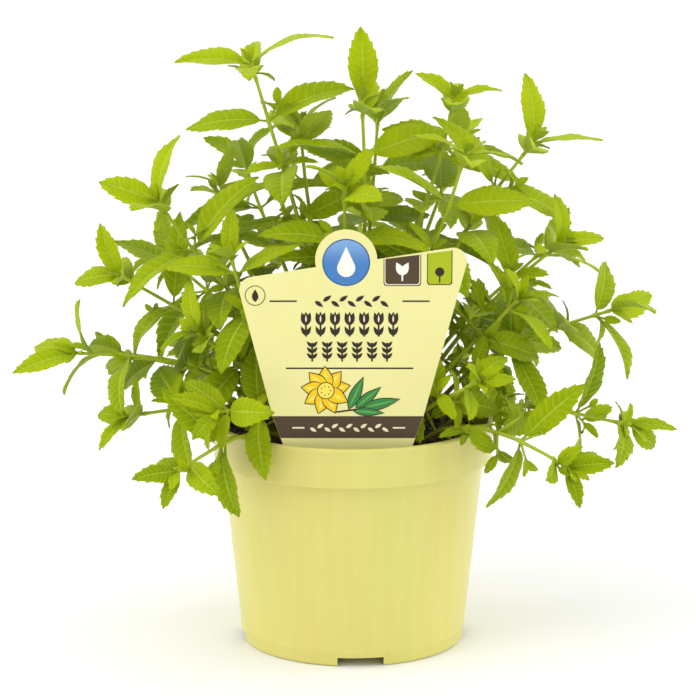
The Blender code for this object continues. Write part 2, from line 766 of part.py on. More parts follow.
def build_stem(stem, leaf_material):
    obj = new_object(stem.name, *tube(stem.path, stem.radii, STEM_SIDES), leaf_material)
    boolean(obj, "UNION", [new_object("leaf", *leaf_solid(leaf)) for leaf in stem.leaves])
    return obj


def centre_on_origin(objects):
    """Moves everything so that the origin lies under the middle of the whole object's box."""
    bpy.context.view_layer.update()
    corners = [obj.matrix_world @ vertex.co for obj in objects for vertex in obj.data.vertices]
    low, high = box_of(corners)
    middle = (low + high) / 2
    for obj in objects:
        obj.data.transform(Matrix.Translation((-middle.x, -middle.y, 0)))


def main():
    clear_scene()
    stems = grow_plant()
    leaf_green = make_material("leaf_green", (0.24, 0.42, 0.02), 0.5)
    objects = [build_pot(), build_soil(stems), build_label()]
    objects += [build_stem(stem, leaf_green) for stem in stems]
    centre_on_origin(objects)


main()
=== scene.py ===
"""Looks for the potted lemon verbena: fine meshes, materials, printed label, floor, lights and camera.

The plant grows here by the same rules as the solids do, then each stem and leaf is meshed finely.
"""

import json
import math
import random
from collections import namedtuple

import bpy
from mathutils import Matrix, Vector, noise
from mathutils.bvhtree import BVHTree

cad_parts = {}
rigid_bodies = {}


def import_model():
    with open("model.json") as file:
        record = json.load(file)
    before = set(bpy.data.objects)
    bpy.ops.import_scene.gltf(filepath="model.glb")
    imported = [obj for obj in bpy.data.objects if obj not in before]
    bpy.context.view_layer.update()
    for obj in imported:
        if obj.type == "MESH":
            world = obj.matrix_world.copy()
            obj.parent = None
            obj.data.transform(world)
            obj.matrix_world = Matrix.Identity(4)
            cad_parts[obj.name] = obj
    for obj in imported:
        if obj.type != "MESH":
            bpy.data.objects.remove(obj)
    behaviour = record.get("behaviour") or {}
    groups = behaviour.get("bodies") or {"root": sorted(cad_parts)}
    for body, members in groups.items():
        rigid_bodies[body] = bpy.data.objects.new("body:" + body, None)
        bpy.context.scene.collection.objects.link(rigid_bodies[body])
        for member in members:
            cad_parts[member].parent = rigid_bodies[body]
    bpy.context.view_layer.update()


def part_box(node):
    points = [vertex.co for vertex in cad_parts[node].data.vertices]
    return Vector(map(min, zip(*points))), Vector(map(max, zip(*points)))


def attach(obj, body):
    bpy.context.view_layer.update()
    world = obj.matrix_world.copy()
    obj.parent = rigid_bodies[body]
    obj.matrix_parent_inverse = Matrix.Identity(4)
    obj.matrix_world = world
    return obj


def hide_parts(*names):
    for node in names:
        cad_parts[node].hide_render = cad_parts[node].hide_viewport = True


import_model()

# The plant grows about the pot's axis, and every mesh is moved by AXIS to the frame's place
pot_low, pot_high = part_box("pot")
AXIS = Vector(((pot_low[0] + pot_high[0]) / 2, (pot_low[1] + pot_high[1]) / 2, 0))
UP = Vector((0, 0, 1))

# Pot, in metres
POT_HEIGHT = 0.1043
RIM_RADIUS = 0.065
RIM_LIP = 0.0020
COLLAR_BOTTOM = 0.0860
COLLAR_RADIUS = 0.0640
BODY_TOP_RADIUS = 0.0604
BASE_RADIUS = 0.0511
BASE_ROUND = 0.0035
COLLAR_WALL = 0.0018
STEP_HEIGHT = 0.0012
LEDGE_HEIGHT = 0.0010
LEDGE_SLOPE = 0.0020
RIM_ROUND = 0.0006
WALL = 0.0014
FLOOR_HEIGHT = 0.0046
FLOOR_THICKNESS = 0.0016
FOOT_WIDTH = 0.0030
NOTCH_WIDTH = 0.0210
NOTCH_COUNT = 4
NOTCH_TURN = math.radians(-86)
DRAIN_RADIUS = 0.0045
DRAIN_CIRCLE = 0.0300
DRAIN_COUNT = 6
NOTCH_DEPTH = 0.0120
NOTCH_HEIGHT = 0.0043
DRAIN_CUT = 0.0100
BASE_STEPS = 2
POT_STEPS = 36

# Clearance between pieces that touch
GAP = 0.0003

# Soil
SOIL_TOP = 0.0975
HOLE_DEPTH = 0.0120

# Label: a card with a round lobe on top and a pointed stake
LABEL_Y = -0.0525
LABEL_THICKNESS = 0.0008
LABEL_FOOT_Z = 0.1005
LABEL_TOP_LEFT = (-0.0500, 0.1795)
LABEL_TOP_RIGHT = (0.0500, 0.1925)
LABEL_FOOT_X = -0.0022
LABEL_FOOT_HALF = 0.0277
LABEL_WAIST_HALF = 0.0335
LABEL_WAIST_Z = 0.1168
LABEL_LOBE_CENTRE = (-0.0030, 0.1870)
LABEL_LOBE_RADIUS = 0.0136
LABEL_CORNER = 0.0060
STAKE_HALF = 0.0060
STAKE_POINT_HALF = 0.0021
STAKE_POINT_HEIGHT = 0.0100
STAKE_BOTTOM = 0.0620

# Growth
SEED = 21
STEM_SIDES = 4
STEM_BASE_RADIUS = 0.0013
STEM_TIP_RADIUS = 0.0007
START_PULL = 0.38
END_PULL = 0.34
TRUNK_TRIALS = 60
SWING_STEP = 0.07
ARCH_STEP = 0.03
ROOT_REACH = 0.004
ROOT_SHARE = 0.10
ROOT_SPREAD = 0.022
TALLEST_TIP = 0.250
LOWEST_TIP = 0.100
LABEL_SIDE = -0.020
LABEL_REACH = 0.010
NODE_SPACING = 0.0240
TOP_PAIR = 0.0010
FIRST_STEP = 0.27
SECOND_STEP = 0.80
SECOND_LEAF = 0.88
LOWER_LEAF = 1.16
LOWER_FADE = 0.05
PAIR_RISE = 34
RISE_FADE = 6
RISE_SPREAD = 7
LENGTH_SPREAD = (0.88, 1.08)
BIG_LEAF = 0.0420
LONG_LEAF = 0.0420
MIDDLE_LEAF = 0.0300
LEAF_ASPECT = 0.36
WIDEST_AT = 0.82
BLADE_FULLNESS = 0.80
BLADE_THICKNESS = 0.0012
SMALL_THICKNESS = 0.8
RIB_PLACES = (0.0, 0.34, 0.68)
SHORT_RIB_PLACES = (0.0, 0.45)
RIB_THINNING = 0.4
PETIOLE_SHARE = 0.10
PETIOLE_HALF = 0.0006
FIRST_SWELL = 0.21
FIRST_TOOTH = 0.32
LAST_TOOTH = 0.96
NOTCH_STEP = 0.035
NOTCH_SHARE = 0.17
CROWD_CLEARANCE = 0.0005
FOOT_RADIUS = 0.0024
LEAN_OUT = 0.7
LEAN_TURN = 0.010
ROLL_RANGE = 1.1
LEAST_BEND = 0.25
BEND_RANGE = 0.85
LEAST_FOLD = 4
FOLD_RANGE = 16
SWAY_RANGE = 0.22
STEM_CLEARANCE = 0.0040
SHORTER_BY = 0.025
FREE_SHARE = 0.94
LEAST_SLOPE = 0.30
LIGHT_PULL = 0.8
LEAST_WIDTH = 0.9
WIDTH_RANGE = 0.3
SPACING_SPREAD = 0.05

# What a leaf tries in turn until it is free: its turn about the stem and its lift, in degrees
TRIALS = (
    (0, 0),
    (14, 0),
    (-14, 0),
    (28, 6),
    (-28, 6),
    (42, -8),
    (-42, -8),
    (0, 16),
    (20, -14),
    (-20, -14),
    (34, 18),
    (-34, 18),
)

# A stem: its tip in metres from the pot's axis, the elevations in degrees at which it leaves the soil
# and ends, the turn of its last leaf pair, the share of its length that is bare, its leaf size, the
# length of its last pair as a share of a big leaf, and the degrees by which that pair rises
Guide = namedtuple("Guide", "name tip rise finish roll bare size crown spread")
GUIDES = (
    Guide("tall_left", (-0.046, 0.005, 0.267), 88, 74, 0, 0.42, 1.0, 0.92, 34),
    Guide("tall_middle", (0.004, 0.000, 0.2505), 89, 86, 10, 0.45, 0.95, 0.85, 78),
    Guide("tall_right", (0.046, 0.010, 0.250), 88, 80, 0, 0.45, 0.9, 0.65, 40),
    Guide("right_high", (0.082, 0.005, 0.231), 84, 52, 0, 0.42, 1.0, 0.75, 55),
    Guide("right_front_high", (0.050, -0.024, 0.230), 86, 76, 10, 0.45, 0.95, 0.7, 35),
    Guide("left_high", (-0.088, -0.005, 0.205), 80, 60, 0, 0.42, 1.0, 0.75, 62),
    Guide("left_back_small", (-0.061, 0.035, 0.206), 84, 80, 30, 0.5, 0.75, 0.6, 60),
    Guide("left_arch", (-0.106, 0.000, 0.170), 70, 30, 0, 0.42, 0.95, 0.65, 62),
    Guide("left_front_upright", (-0.054, -0.034, 0.184), 80, 80, 75, 0.42, 0.95, 0.6, 60),
    Guide("right_arch", (0.094, -0.005, 0.186), 70, 40, 0, 0.42, 0.95, 0.6, 60),
    Guide("right_far", (0.117, -0.010, 0.156), 62, 18, 60, 0.42, 1.0, 0.8, 50),
    Guide("left_far", (-0.126, 0.000, 0.134), 58, 2, 72, 0.46, 0.9, 0.85, 58),
    Guide("right_low", (0.126, -0.025, 0.106), 48, -8, 10, 0.44, 0.85, 0.65, 62),
    Guide("left_low_front", (-0.077, -0.072, 0.096), 40, -20, 0, 0.5, 0.85, 0.6, 60),
    Guide("left_low", (-0.102, -0.020, 0.109), 48, -6, 30, 0.46, 0.9, 0.6, 60),
    Guide("middle_left_high", (-0.024, 0.016, 0.236), 88, 86, 30, 0.45, 0.9, 0.6, 60),
    Guide("middle_front", (-0.004, -0.028, 0.216), 88, 84, 20, 0.5, 0.95, 0.6, 60),
    Guide("right_low_front", (0.094, -0.076, 0.099), 42, -20, 0, 0.5, 0.85, 0.6, 60),
    Guide("right_mid", (0.074, -0.026, 0.164), 66, 48, 40, 0.42, 0.9, 0.6, 60),
    Guide("left_mid", (-0.070, -0.030, 0.150), 66, 40, 20, 0.42, 0.95, 0.6, 60),
    Guide("right_front_low", (0.055, -0.060, 0.134), 54, 30, 20, 0.4, 0.8, 0.6, 60),
    Guide("left_front_low", (-0.060, -0.062, 0.121), 50, 8, 30, 0.42, 0.85, 0.6, 60),
    Guide("back_tall", (0.012, 0.048, 0.240), 86, 76, 20, 0.45, 0.95, 0.6, 60),
    Guide("back_left_high", (-0.052, 0.066, 0.214), 80, 62, 10, 0.44, 1.0, 0.6, 60),
    Guide("back_right_high", (0.050, 0.068, 0.222), 80, 62, 70, 0.44, 1.0, 0.6, 60),
    Guide("back_left_arch", (-0.088, 0.070, 0.166), 68, 32, 0, 0.42, 1.0, 0.6, 60),
    Guide("back_right_arch", (0.092, 0.062, 0.172), 68, 34, 20, 0.42, 1.0, 0.6, 60),
    Guide("back_middle_arch", (0.004, 0.096, 0.182), 68, 34, 0, 0.42, 1.0, 0.6, 60),
    Guide("back_left_low", (-0.070, 0.084, 0.122), 52, 2, 30, 0.44, 0.9, 0.6, 60),
    Guide("back_right_low", (0.080, 0.082, 0.124), 52, 2, 0, 0.44, 0.9, 0.6, 60),
    Guide("back_low", (0.010, 0.104, 0.122), 50, -6, 40, 0.46, 0.9, 0.6, 60),
    Guide("left_back_low", (-0.114, 0.050, 0.124), 54, 4, 60, 0.44, 0.9, 0.6, 60),
)

Leaf = namedtuple("Leaf", "root along normal length half bend fold sway teeth")
Stem = namedtuple("Stem", "name path radii leaves")

# Fine stems: their sides, the step along them, how much and how far they swell at a leaf pair, and tone
FINE_STEM_SIDES = 8
FINE_STEM_STEP = 0.0014
NODE_SWELL = 0.5
NODE_SPREAD = 0.0013
STEM_TONE = 0.3

# Fine blades: the rows before the teeth, the teeth from first to last, and the rows after them with
# their narrowing as a share of a tooth's depth
PLAIN_ROWS = (0.0, 0.045, PETIOLE_SHARE, 0.135, 0.175, 0.215)
TEETH_START = 0.26
TEETH_END = 0.91
TIP_ROWS = ((TEETH_END, 0.4), (0.95, 0.3), (0.98, 0.2))
TOOTHED_SHARE = 0.93 - FIRST_SWELL
TEETH_SPACING = 0.0043
TOOTH_DEPTH = 0.00062
TOOTH_SHARE = 0.12
TOOTH_LEAN = 0.22
LOWEST_TOOTH = 0.35
TOOTH_GROWTH = 2.2
TOOTH_FADE = 0.4
TOOTH_RANGE = (0.7, 1.25)
BACK_SHARE = 0.42
PEAK_RANGE = (0.74, 0.84)
PEAK_SHARE = 0.35

# Fine blades: columns from edge to edge, half thickness, edge waves, arched halves, swelling between
# the veins, and the midrib's furrow above and keel below
COLUMNS = (-1.0, -0.8, -0.52, -0.25, 0.0, 0.25, 0.52, 0.8, 1.0)
SMALL_COLUMNS = (-1.0, -0.6, 0.0, 0.6, 1.0)
BLADE_HALF = 0.00014
STALK_HALF = 0.00032
LEAST_HALF_WIDTH = 0.00018
BLADE_START = 0.08
BLADE_RUN = 0.14
WAVE_RANGE = (1.6, 2.8)
WAVE_HEIGHT = 0.00045
WAVE_SHARE = 0.012
WAVE_SHIFT = 1.3
ARCH_HEIGHT = 0.00045
ARCH_SHARE = 0.06
VEIN_COUNT = 11.0
VEIN_SLANT = 0.10
VEIN_CURVE = 1.25
VEIN_SWELL = 0.00009
FURROW_DEPTH = 0.00012
KEEL_DEPTH = 0.00030

# Side shoots: radii from foot to tip, and for each leaf pair its place, range of lengths and rise in
# degrees. They leave the stem partly along it and partly sideways, and some corners are left bare
SHOOT_RADII = (0.0006, 0.00055, 0.0005)
SHOOT_SIDES = 4
SHOOT_YOUTH = 0.7
SHOOT_PAIRS = ((0.70, (0.010, 0.019), 22), (0.98, (0.006, 0.011), 55))
SHOOT_REACH = (0.004, 0.010)
SHOOT_TONE = 0.3
SHOOT_TONES = (0.4, 0.9)
SHOOT_RISE = 0.8
SHOOT_SIDEWAYS = 0.75
SHOOT_FOOT = 0.002
SHOOT_FREE = 0.9
SHOOT_BARE = 0.25
SHOOT_CLEARANCES = (0.0004, 0.0002)

# Shoots on the lower stem, in crossed pairs
LOW_SHOOT_STEP = 0.016
LOW_SHOOT_START = 0.8
LOW_SHOOT_RANGE = (0.8, 1.2)
LOW_SHOOT_RISE = (0.35, 0.8)
LOW_SHOOT_TURN = 0.3
LOW_SHOOT_FOOT = 0.012
LOW_SHOOT_REACH = (0.006, 0.015)
LOW_SHOOT_TONE = 1.0

# Buds: the length and rise in degrees of each pair of young leaves, and the turns that they try
BUDS = ((0.0125, 52), (0.0075, 70))
BUD_STEP = 0.001
BUD_CURL = 0.6
BUD_FOOT = 0.35
BUD_TURNS = (0.0, 0.3, -0.3, 0.6, -0.6, 0.9, -0.9)
BUD_CLEARANCES = (0.0003, 0.0001)

# A leaf's tone, from young at 0 to old at 1: how it ages with its distance from the tip, and the painted
# shade that darkens it low down
YOUNGEST_TONE = 0.02
AGE_REACH = 0.09
AGE_SHARE = 0.60
SHADE_HEIGHT = 0.11
SHADE_SHARE = 0.50
TONE_SPREAD = 0.20

# Fine pot: its corners' rounding, the low ring round its foot as (height, rise), and the wall's rows
FINE_POT_STEPS = 192
FOOT_BEVEL = 0.0004
FOOT_ROUND = 0.0018
FOOT_RING = ((0.0062, 0.0), (0.0066, 0.00012), (0.0070, 0.00012), (0.0074, 0.0))
WALL_ROWS = (0.010, 0.025, 0.040, 0.055, 0.070, 0.080)
NECK_ROUND = 0.0007
COLLAR_ROUND = 0.0009
COLLAR_DISH = 0.0003
LIP_ROUND = 0.0010
LIP_DEPTH = 0.0026
INNER_LIP_DEPTH = 0.0024
FLOOR_BEVEL = 0.0006
FINE_DRAIN_SIDES = 48

# Fine soil: its mesh, how its edge sinks, and the ground that crumbs keep clear of
FINE_SOIL_STEPS = 160
FINE_SOIL_RINGS = 56
SOIL_WALL_DROP = 0.0025
SOIL_EDGE_DROP = 0.0012
SOIL_EDGE_START = 0.93
CRUMB_REACH = 0.0600
STEM_SPACE = 0.0022
CARD_SPACE = 0.001
CARD_REACH = 0.031

# Bits on the soil: name, number, range of sizes, and whether they are flat chips
CRUMBS = (
    ("soil_crumbs", 620, (0.0005, 0.0017), False),
    ("soil_bark", 90, (0.0011, 0.0028), True),
    ("soil_grit", 70, (0.0004, 0.0009), False),
)

# Print: its lift off the card, the step from shape to shape and the step from level to level
PRINT_LIFT = 0.00002
PRINT_STEP = 0.000002
PRINT_LEVEL = 0.00003
CARD_BEVEL = 0.00015

# Print: the dark band at the foot, the tabs as (left, right, drop) and the badge on the lobe
BAND_LOW = 0.1068
BAND_HIGH = 0.1168
BAND_INSET = 0.0001
BAND_ROW_Z = 0.1115
BROWN_TAB = (0.0134, 0.0299, 0.0133)
LIME_TAB = (0.0325, 0.0436, 0.0150)
TAB_EDGE = 0.0004
TAB_CORNER = 0.0013
TAB_TOP = 0.0003
BADGE_X = LABEL_LOBE_CENTRE[0]
BADGE_Z = LABEL_LOBE_CENTRE[1] - 0.0010
BADGE_RADIUS = 0.0100
BADGE_RIM = 0.0105
DROP_Z = LABEL_LOBE_CENTRE[1] - 0.0035
DROP_RADIUS = 0.0040

# Print: the rules, the rows of motifs, and the flower with its sprig as (x, z, length, width, turn)
PRINT_MIDDLE = -0.0015
RULE = 0.0007
TOP_ROW_Z = 0.1687
LOW_RULE_Z = 0.1385
RING_X = -0.0430
RING_Z = 0.1712
TULIP_Z = 0.1558
TWIG_Z = 0.1458
BLOOM = (-0.0120, 0.1284)
BLOOM_PETALS = 9
BLOOM_SEEDS = 7
SPRIG = (
    (-0.0020, 0.1198, 0.0165, 0.0052, 66),
    (0.0010, 0.1205, 0.0150, 0.0048, 40),
    (0.0040, 0.1204, 0.0175, 0.0052, 14),
    (0.0000, 0.1192, 0.0140, 0.0040, -4),
)

# Inks: name, colour and roughness
INKS = (
    ("brown", (0.075, 0.045, 0.021), 0.42),
    ("dark", (0.026, 0.016, 0.008), 0.42),
    ("navy", (0.020, 0.070, 0.22), 0.42),
    ("white", (0.84, 0.84, 0.76), 0.42),
    ("cream", (0.84, 0.78, 0.52), 0.42),
    ("lime", (0.38, 0.47, 0.003), 0.35),
    ("green", (0.035, 0.22, 0.045), 0.42),
    ("light_green", (0.13, 0.42, 0.09), 0.42),
    ("yellow", (0.86, 0.56, 0.006), 0.42),
    ("light_yellow", (0.88, 0.72, 0.10), 0.42),
)
INK_UNEVENNESS = 0.06

# Lights: suns as name, where they shine from, angle in degrees and strength, and strips of soft light
# as name, place, size, power and the point that they face
SUNS = (
    ("key", (-0.75, -0.6, 1.2), 34, 0.72),
    ("fill", (1.0, -0.45, 0.6), 45, 0.44),
    ("back", (0.4, 0.9, 0.8), 45, 0.30),
)
STRIPS = (
    ("left_strip", (-1.25, 0.06, 0.30), (0.26, 1.3), 4.5, (0, 0, 0.08)),
    ("right_strip", (1.15, 0.25, 0.40), (0.25, 1.0), 3.0, (0, 0, 0.12)),
)
SKY_STRENGTH = 0.92
FLOOR_SIZE = 12

# Camera: its place from the pot's axis, its tilt in degrees, and its focal length as a share of the
# picture's side, both in pixels of the photo
CAMERA_PLACE = (-0.0022, -1.4, 0.434)
CAMERA_TILT = 12
SENSOR = 36
FOCAL_PIXELS = 3123
PICTURE_PIXELS = 696


# Shapes shared by the pot, the soil and the label


def turned(profile, steps):
    """Points and faces of a profile of (radius, height) pairs, turned about the Z axis.

    The profile's ends lie on the axis and are one point each.
    """
    points = []
    for radius, height in profile[1:-1]:
        for k in range(steps):
            angle = 2 * math.pi * k / steps
            points.append((radius * math.cos(angle), radius * math.sin(angle), height))
    first = len(points)
    last_ring = first - steps
    points += [(0, 0, profile[0][1]), (0, 0, profile[-1][1])]
    faces = []
    for low in range(0, last_ring, steps):
        for k in range(steps):
            after = (k + 1) % steps
            faces.append((low + k, low + after, low + steps + after, low + steps + k))
    for k in range(steps):
        after = (k + 1) % steps
        faces.append((first, after, k))
        faces.append((first + 1, last_ring + k, last_ring + after))
    return points, faces


def body_radius(height):
    """Outer radius of the tapered body under the collar."""
    return BASE_RADIUS + (BODY_TOP_RADIUS - BASE_RADIUS) * height / COLLAR_BOTTOM


def inside_wall():
    """The inside of the pot's section from the collar down to the floor, as (radius, height) pairs."""
    collar_in = COLLAR_RADIUS - COLLAR_WALL
    body_in = body_radius(COLLAR_BOTTOM) - WALL
    floor_in = body_radius(FLOOR_HEIGHT) - WALL
    ledge = COLLAR_BOTTOM + LEDGE_HEIGHT
    return [
        (collar_in, ledge + LEDGE_SLOPE),
        (body_in, ledge),
        (floor_in, FLOOR_HEIGHT + FLOOR_THICKNESS),
    ]


def pot_profile():
    """The pot's section from the foot's inner edge, round the outside, to the floor inside."""
    points = [(BASE_RADIUS - FOOT_WIDTH, 0.0)]
    for k in range(BASE_STEPS + 1):
        turn = math.pi / 2 * k / BASE_STEPS
        radius = body_radius(BASE_ROUND) - BASE_ROUND * 0.5 * (1 - math.sin(turn))
        points.append((radius, BASE_ROUND * (1 - math.cos(turn))))
    points += [
        (body_radius(COLLAR_BOTTOM), COLLAR_BOTTOM),
        (COLLAR_RADIUS, COLLAR_BOTTOM + STEP_HEIGHT),
        (RIM_RADIUS, POT_HEIGHT - RIM_ROUND),
        (RIM_RADIUS - RIM_ROUND, POT_HEIGHT),
        (RIM_RADIUS - RIM_LIP, POT_HEIGHT),
        (COLLAR_RADIUS - WALL, POT_HEIGHT - STEP_HEIGHT),
    ]
    return points + inside_wall()


def floor_profile():
    """The closed floor of the pot joins the section at its foot and at its inside corner."""
    section = pot_profile()
    return [(0, FLOOR_HEIGHT), (BASE_RADIUS - FOOT_WIDTH, FLOOR_HEIGHT)] + section + [
        (0, FLOOR_HEIGHT + FLOOR_THICKNESS)
    ]


def add_box(name, size, location, turn=0.0):
    bpy.ops.mesh.primitive_cube_add(size=1)
    box = bpy.context.object
    box.name = name
    box.scale = size
    box.location = location
    box.rotation_euler = (0, 0, turn)
    return box


def cut_out(target, cutters):
    """Cuts a collection of cutters out of the target at once, then removes them."""
    group = bpy.data.collections.new("cutters")
    bpy.context.scene.collection.children.link(group)
    for cutter in cutters:
        for holder in list(cutter.users_collection):
            holder.objects.unlink(cutter)
        group.objects.link(cutter)
    modifier = target.modifiers.new("cut", "BOOLEAN")
    modifier.operation = "DIFFERENCE"
    modifier.operand_type = "COLLECTION"
    modifier.collection = group
    modifier.solver = "EXACT"
    bpy.context.view_layer.update()
    graph = bpy.context.evaluated_depsgraph_get()
    result = bpy.data.meshes.new_from_object(target.evaluated_get(graph))
    target.modifiers.clear()
    target.data = result
    for cutter in list(group.objects):
        bpy.data.objects.remove(cutter, do_unlink=True)
    bpy.data.collections.remove(group)


def arc(centre, radius, start, end, steps):
    """Points along an arc, with its angles in degrees."""
    points = []
    for k in range(steps + 1):
        angle = math.radians(start + (end - start) * k / steps)
        points.append((centre[0] + radius * math.cos(angle), centre[1] + radius * math.sin(angle)))
    return points


def label_outline(corner_steps=3, lobe_steps=14):
    """The card seen from the front, as (x, z) points, from the stake's foot round to the left."""
    left_x, left_z = LABEL_TOP_LEFT
    right_x, right_z = LABEL_TOP_RIGHT
    slope = math.degrees(math.atan2(right_z - left_z, right_x - left_x))
    lobe_x, lobe_z = LABEL_LOBE_CENTRE
    top_middle = (left_z + right_z) / 2 + math.tan(math.radians(slope)) * lobe_x
    drop = math.degrees(math.asin((top_middle - lobe_z) / LABEL_LOBE_RADIUS))
    middle = LABEL_FOOT_X
    outline = [(-STAKE_POINT_HALF, STAKE_BOTTOM), (STAKE_POINT_HALF, STAKE_BOTTOM)]
    outline += [(STAKE_HALF, STAKE_BOTTOM + STAKE_POINT_HEIGHT), (STAKE_HALF, LABEL_FOOT_Z)]
    outline += [(middle + LABEL_FOOT_HALF, LABEL_FOOT_Z), (middle + LABEL_WAIST_HALF, LABEL_WAIST_Z)]
    corner = (right_x - LABEL_CORNER, right_z - LABEL_CORNER)
    outline += arc(corner, LABEL_CORNER, -10, 90 + slope, corner_steps)
    outline += arc(LABEL_LOBE_CENTRE, LABEL_LOBE_RADIUS, drop + slope, 180 - drop + slope, lobe_steps)
    corner = (left_x + LABEL_CORNER, left_z - LABEL_CORNER)
    outline += arc(corner, LABEL_CORNER, 90 + slope, 190, corner_steps)
    outline += [(middle - LABEL_WAIST_HALF, LABEL_WAIST_Z), (middle - LABEL_FOOT_HALF, LABEL_FOOT_Z)]
    outline += [(-STAKE_HALF, LABEL_FOOT_Z), (-STAKE_HALF, STAKE_BOTTOM + STAKE_POINT_HEIGHT)]
    return outline


def label_solid():
    """The plain card, as in the solids."""
    outline = label_outline()
    count = len(outline)
    front = LABEL_Y - LABEL_THICKNESS / 2
    back = LABEL_Y + LABEL_THICKNESS / 2
    points = [(x, front, z) for x, z in outline] + [(x, back, z) for x, z in outline]
    faces = [tuple(range(count)), tuple(range(2 * count - 1, count - 1, -1))]
    for k in range(count):
        after = (k + 1) % count
        faces.append((k, k + count, after + count, after))
    return points, faces


# Plant shapes


def tube(path, radii, sides):
    """Points and faces of a closed tube along a path of vectors."""
    points = []
    faces = []
    side = (path[1] - path[0]).orthogonal().normalized()
    for k, centre in enumerate(path):
        ahead = path[min(k + 1, len(path) - 1)] - path[max(k - 1, 0)]
        ahead = ahead.normalized()
        side = (side - ahead * side.dot(ahead)).normalized()
        other = ahead.cross(side)
        for j in range(sides):
            turn = 2 * math.pi * j / sides
            points.append(centre + (side * math.cos(turn) + other * math.sin(turn)) * radii[k])
    for k in range(len(path) - 1):
        for j in range(sides):
            after = (j + 1) % sides
            low = k * sides
            faces.append((low + j, low + after, low + sides + after, low + sides + j))
    faces.append(tuple(range(sides - 1, -1, -1)))
    last = (len(path) - 1) * sides
    faces.append(tuple(range(last, last + sides)))
    return points, faces


def blade_half_width(leaf, u):
    """Half the width of the blade without its teeth, u from the stem, 0, to the tip, 1."""
    if u <= PETIOLE_SHARE:
        return PETIOLE_HALF
    t = (u - PETIOLE_SHARE) / (1 - PETIOLE_SHARE)
    swell = math.sin(math.pi * min(t, 1.0) ** WIDEST_AT)
    return PETIOLE_HALF * (1 - t) + leaf.half * max(swell, 0.0) ** BLADE_FULLNESS


def blade_point(leaf, u, v, lift=0.0):
    """A point of the blade: u along it, v across it in metres, lift off it in metres."""
    turned_by = leaf.bend * u
    if abs(leaf.bend) < 1e-4:
        ahead = leaf.length * u
        sunk = 0.0
    else:
        ahead = leaf.length * math.sin(turned_by) / leaf.bend
        sunk = leaf.length * (1 - math.cos(turned_by)) / leaf.bend
    side = leaf.normal.cross(leaf.along)
    up_here = leaf.normal * math.cos(turned_by) + leaf.along * math.sin(turned_by)
    raised = lift + abs(v) * math.sin(leaf.fold)
    across = v * math.cos(leaf.fold) + leaf.sway * leaf.length * u * u
    return leaf.root + leaf.along * ahead - leaf.normal * sunk + up_here * raised + side * across


def toothed_edge(leaf):
    """(u, half width) along one edge of the blade, with a notch behind each tooth."""
    edge = [(0.0, PETIOLE_HALF), (FIRST_SWELL, blade_half_width(leaf, FIRST_SWELL))]
    for k in range(leaf.teeth):
        u = FIRST_TOOTH + (LAST_TOOTH - FIRST_TOOTH) * (k + 0.5) / leaf.teeth
        behind = u + NOTCH_STEP
        edge.append((u, blade_half_width(leaf, u)))
        edge.append((behind, blade_half_width(leaf, behind) * (1 - NOTCH_SHARE)))
    return edge


def leaf_solid(leaf, extra=0.0):
    """A blade, thick at the midrib and sharp at its toothed edges. extra grows it on all sides."""
    edge = toothed_edge(leaf)
    rib = RIB_PLACES if leaf.teeth > 1 else SHORT_RIB_PLACES
    half_thick = BLADE_THICKNESS / 2 * (1.0 if leaf.teeth > 1 else SMALL_THICKNESS) + extra
    points = []
    for lift in (half_thick, -half_thick):
        points += [blade_point(leaf, u, 0.0, lift * (1 - RIB_THINNING * u)) for u in rib]
    points[len(rib)] = blade_point(leaf, 0.5 * rib[1], 0.0, -half_thick)
    for u, half in edge:
        points.append(blade_point(leaf, u, half + extra))
    for u, half in edge:
        points.append(blade_point(leaf, u, -half - extra))
    tip = len(points)
    points.append(blade_point(leaf, 1.0 + extra / leaf.length, 0.0))
    ribs = len(rib)
    edges = len(edge)
    top = list(range(ribs))
    bottom = list(range(ribs, 2 * ribs))
    left = list(range(2 * ribs, 2 * ribs + edges))
    right = list(range(2 * ribs + edges, 2 * ribs + 2 * edges))
    edge_us = [u for u, half in edge]
    faces = []
    for place, kind in strip(rib, edge_us):
        faces.append(face_of(top, left, place, kind, tip))
        faces.append(face_of(bottom, left, place, kind, tip)[::-1])
        faces.append(face_of(top, right, place, kind, tip)[::-1])
        faces.append(face_of(bottom, right, place, kind, tip))
    faces.append((top[0], left[0], right[0]))
    faces.append((left[0], bottom[0], right[0]))
    return points, faces


def strip(rib, edge):
    """The triangles between two rows of u values: the rows' indices and the row that moves on."""
    steps = []
    i = 0
    j = 0
    while i < len(rib) or j < len(edge):
        next_rib = rib[i + 1] if i + 1 < len(rib) else 1.0
        next_edge = edge[j + 1] if j + 1 < len(edge) else 1.0
        if i == len(rib) - 1 and j == len(edge) - 1:
            steps.append(((i, j), "tip"))
            break
        if next_rib <= next_edge and i + 1 < len(rib) or j + 1 >= len(edge):
            steps.append(((i, j), "rib"))
            i += 1
        else:
            steps.append(((i, j), "edge"))
            j += 1
    return steps


def face_of(rib, edge, place, kind, tip):
    """One triangle between the vertices of the rib and those of an edge."""
    i, j = place
    if kind == "rib":
        return (rib[i], rib[i + 1], edge[j])
    if kind == "edge":
        return (rib[i], edge[j + 1], edge[j])
    return (rib[i], tip, edge[j])


# Growth


def direction(azimuth, elevation):
    flat = math.cos(elevation)
    return Vector((flat * math.cos(azimuth), flat * math.sin(azimuth), math.sin(elevation)))


def turned_about(vector, axis, angle):
    return Matrix.Rotation(angle, 3, axis) @ vector


def cubic(start, one, two, end, t):
    s = 1 - t
    return start * s**3 + one * (3 * s * s * t) + two * (3 * s * t * t) + end * t**3


def box_of(points):
    low = Vector([min(point[axis] for point in points) for axis in range(3)])
    high = Vector([max(point[axis] for point in points) for axis in range(3)])
    return low, high


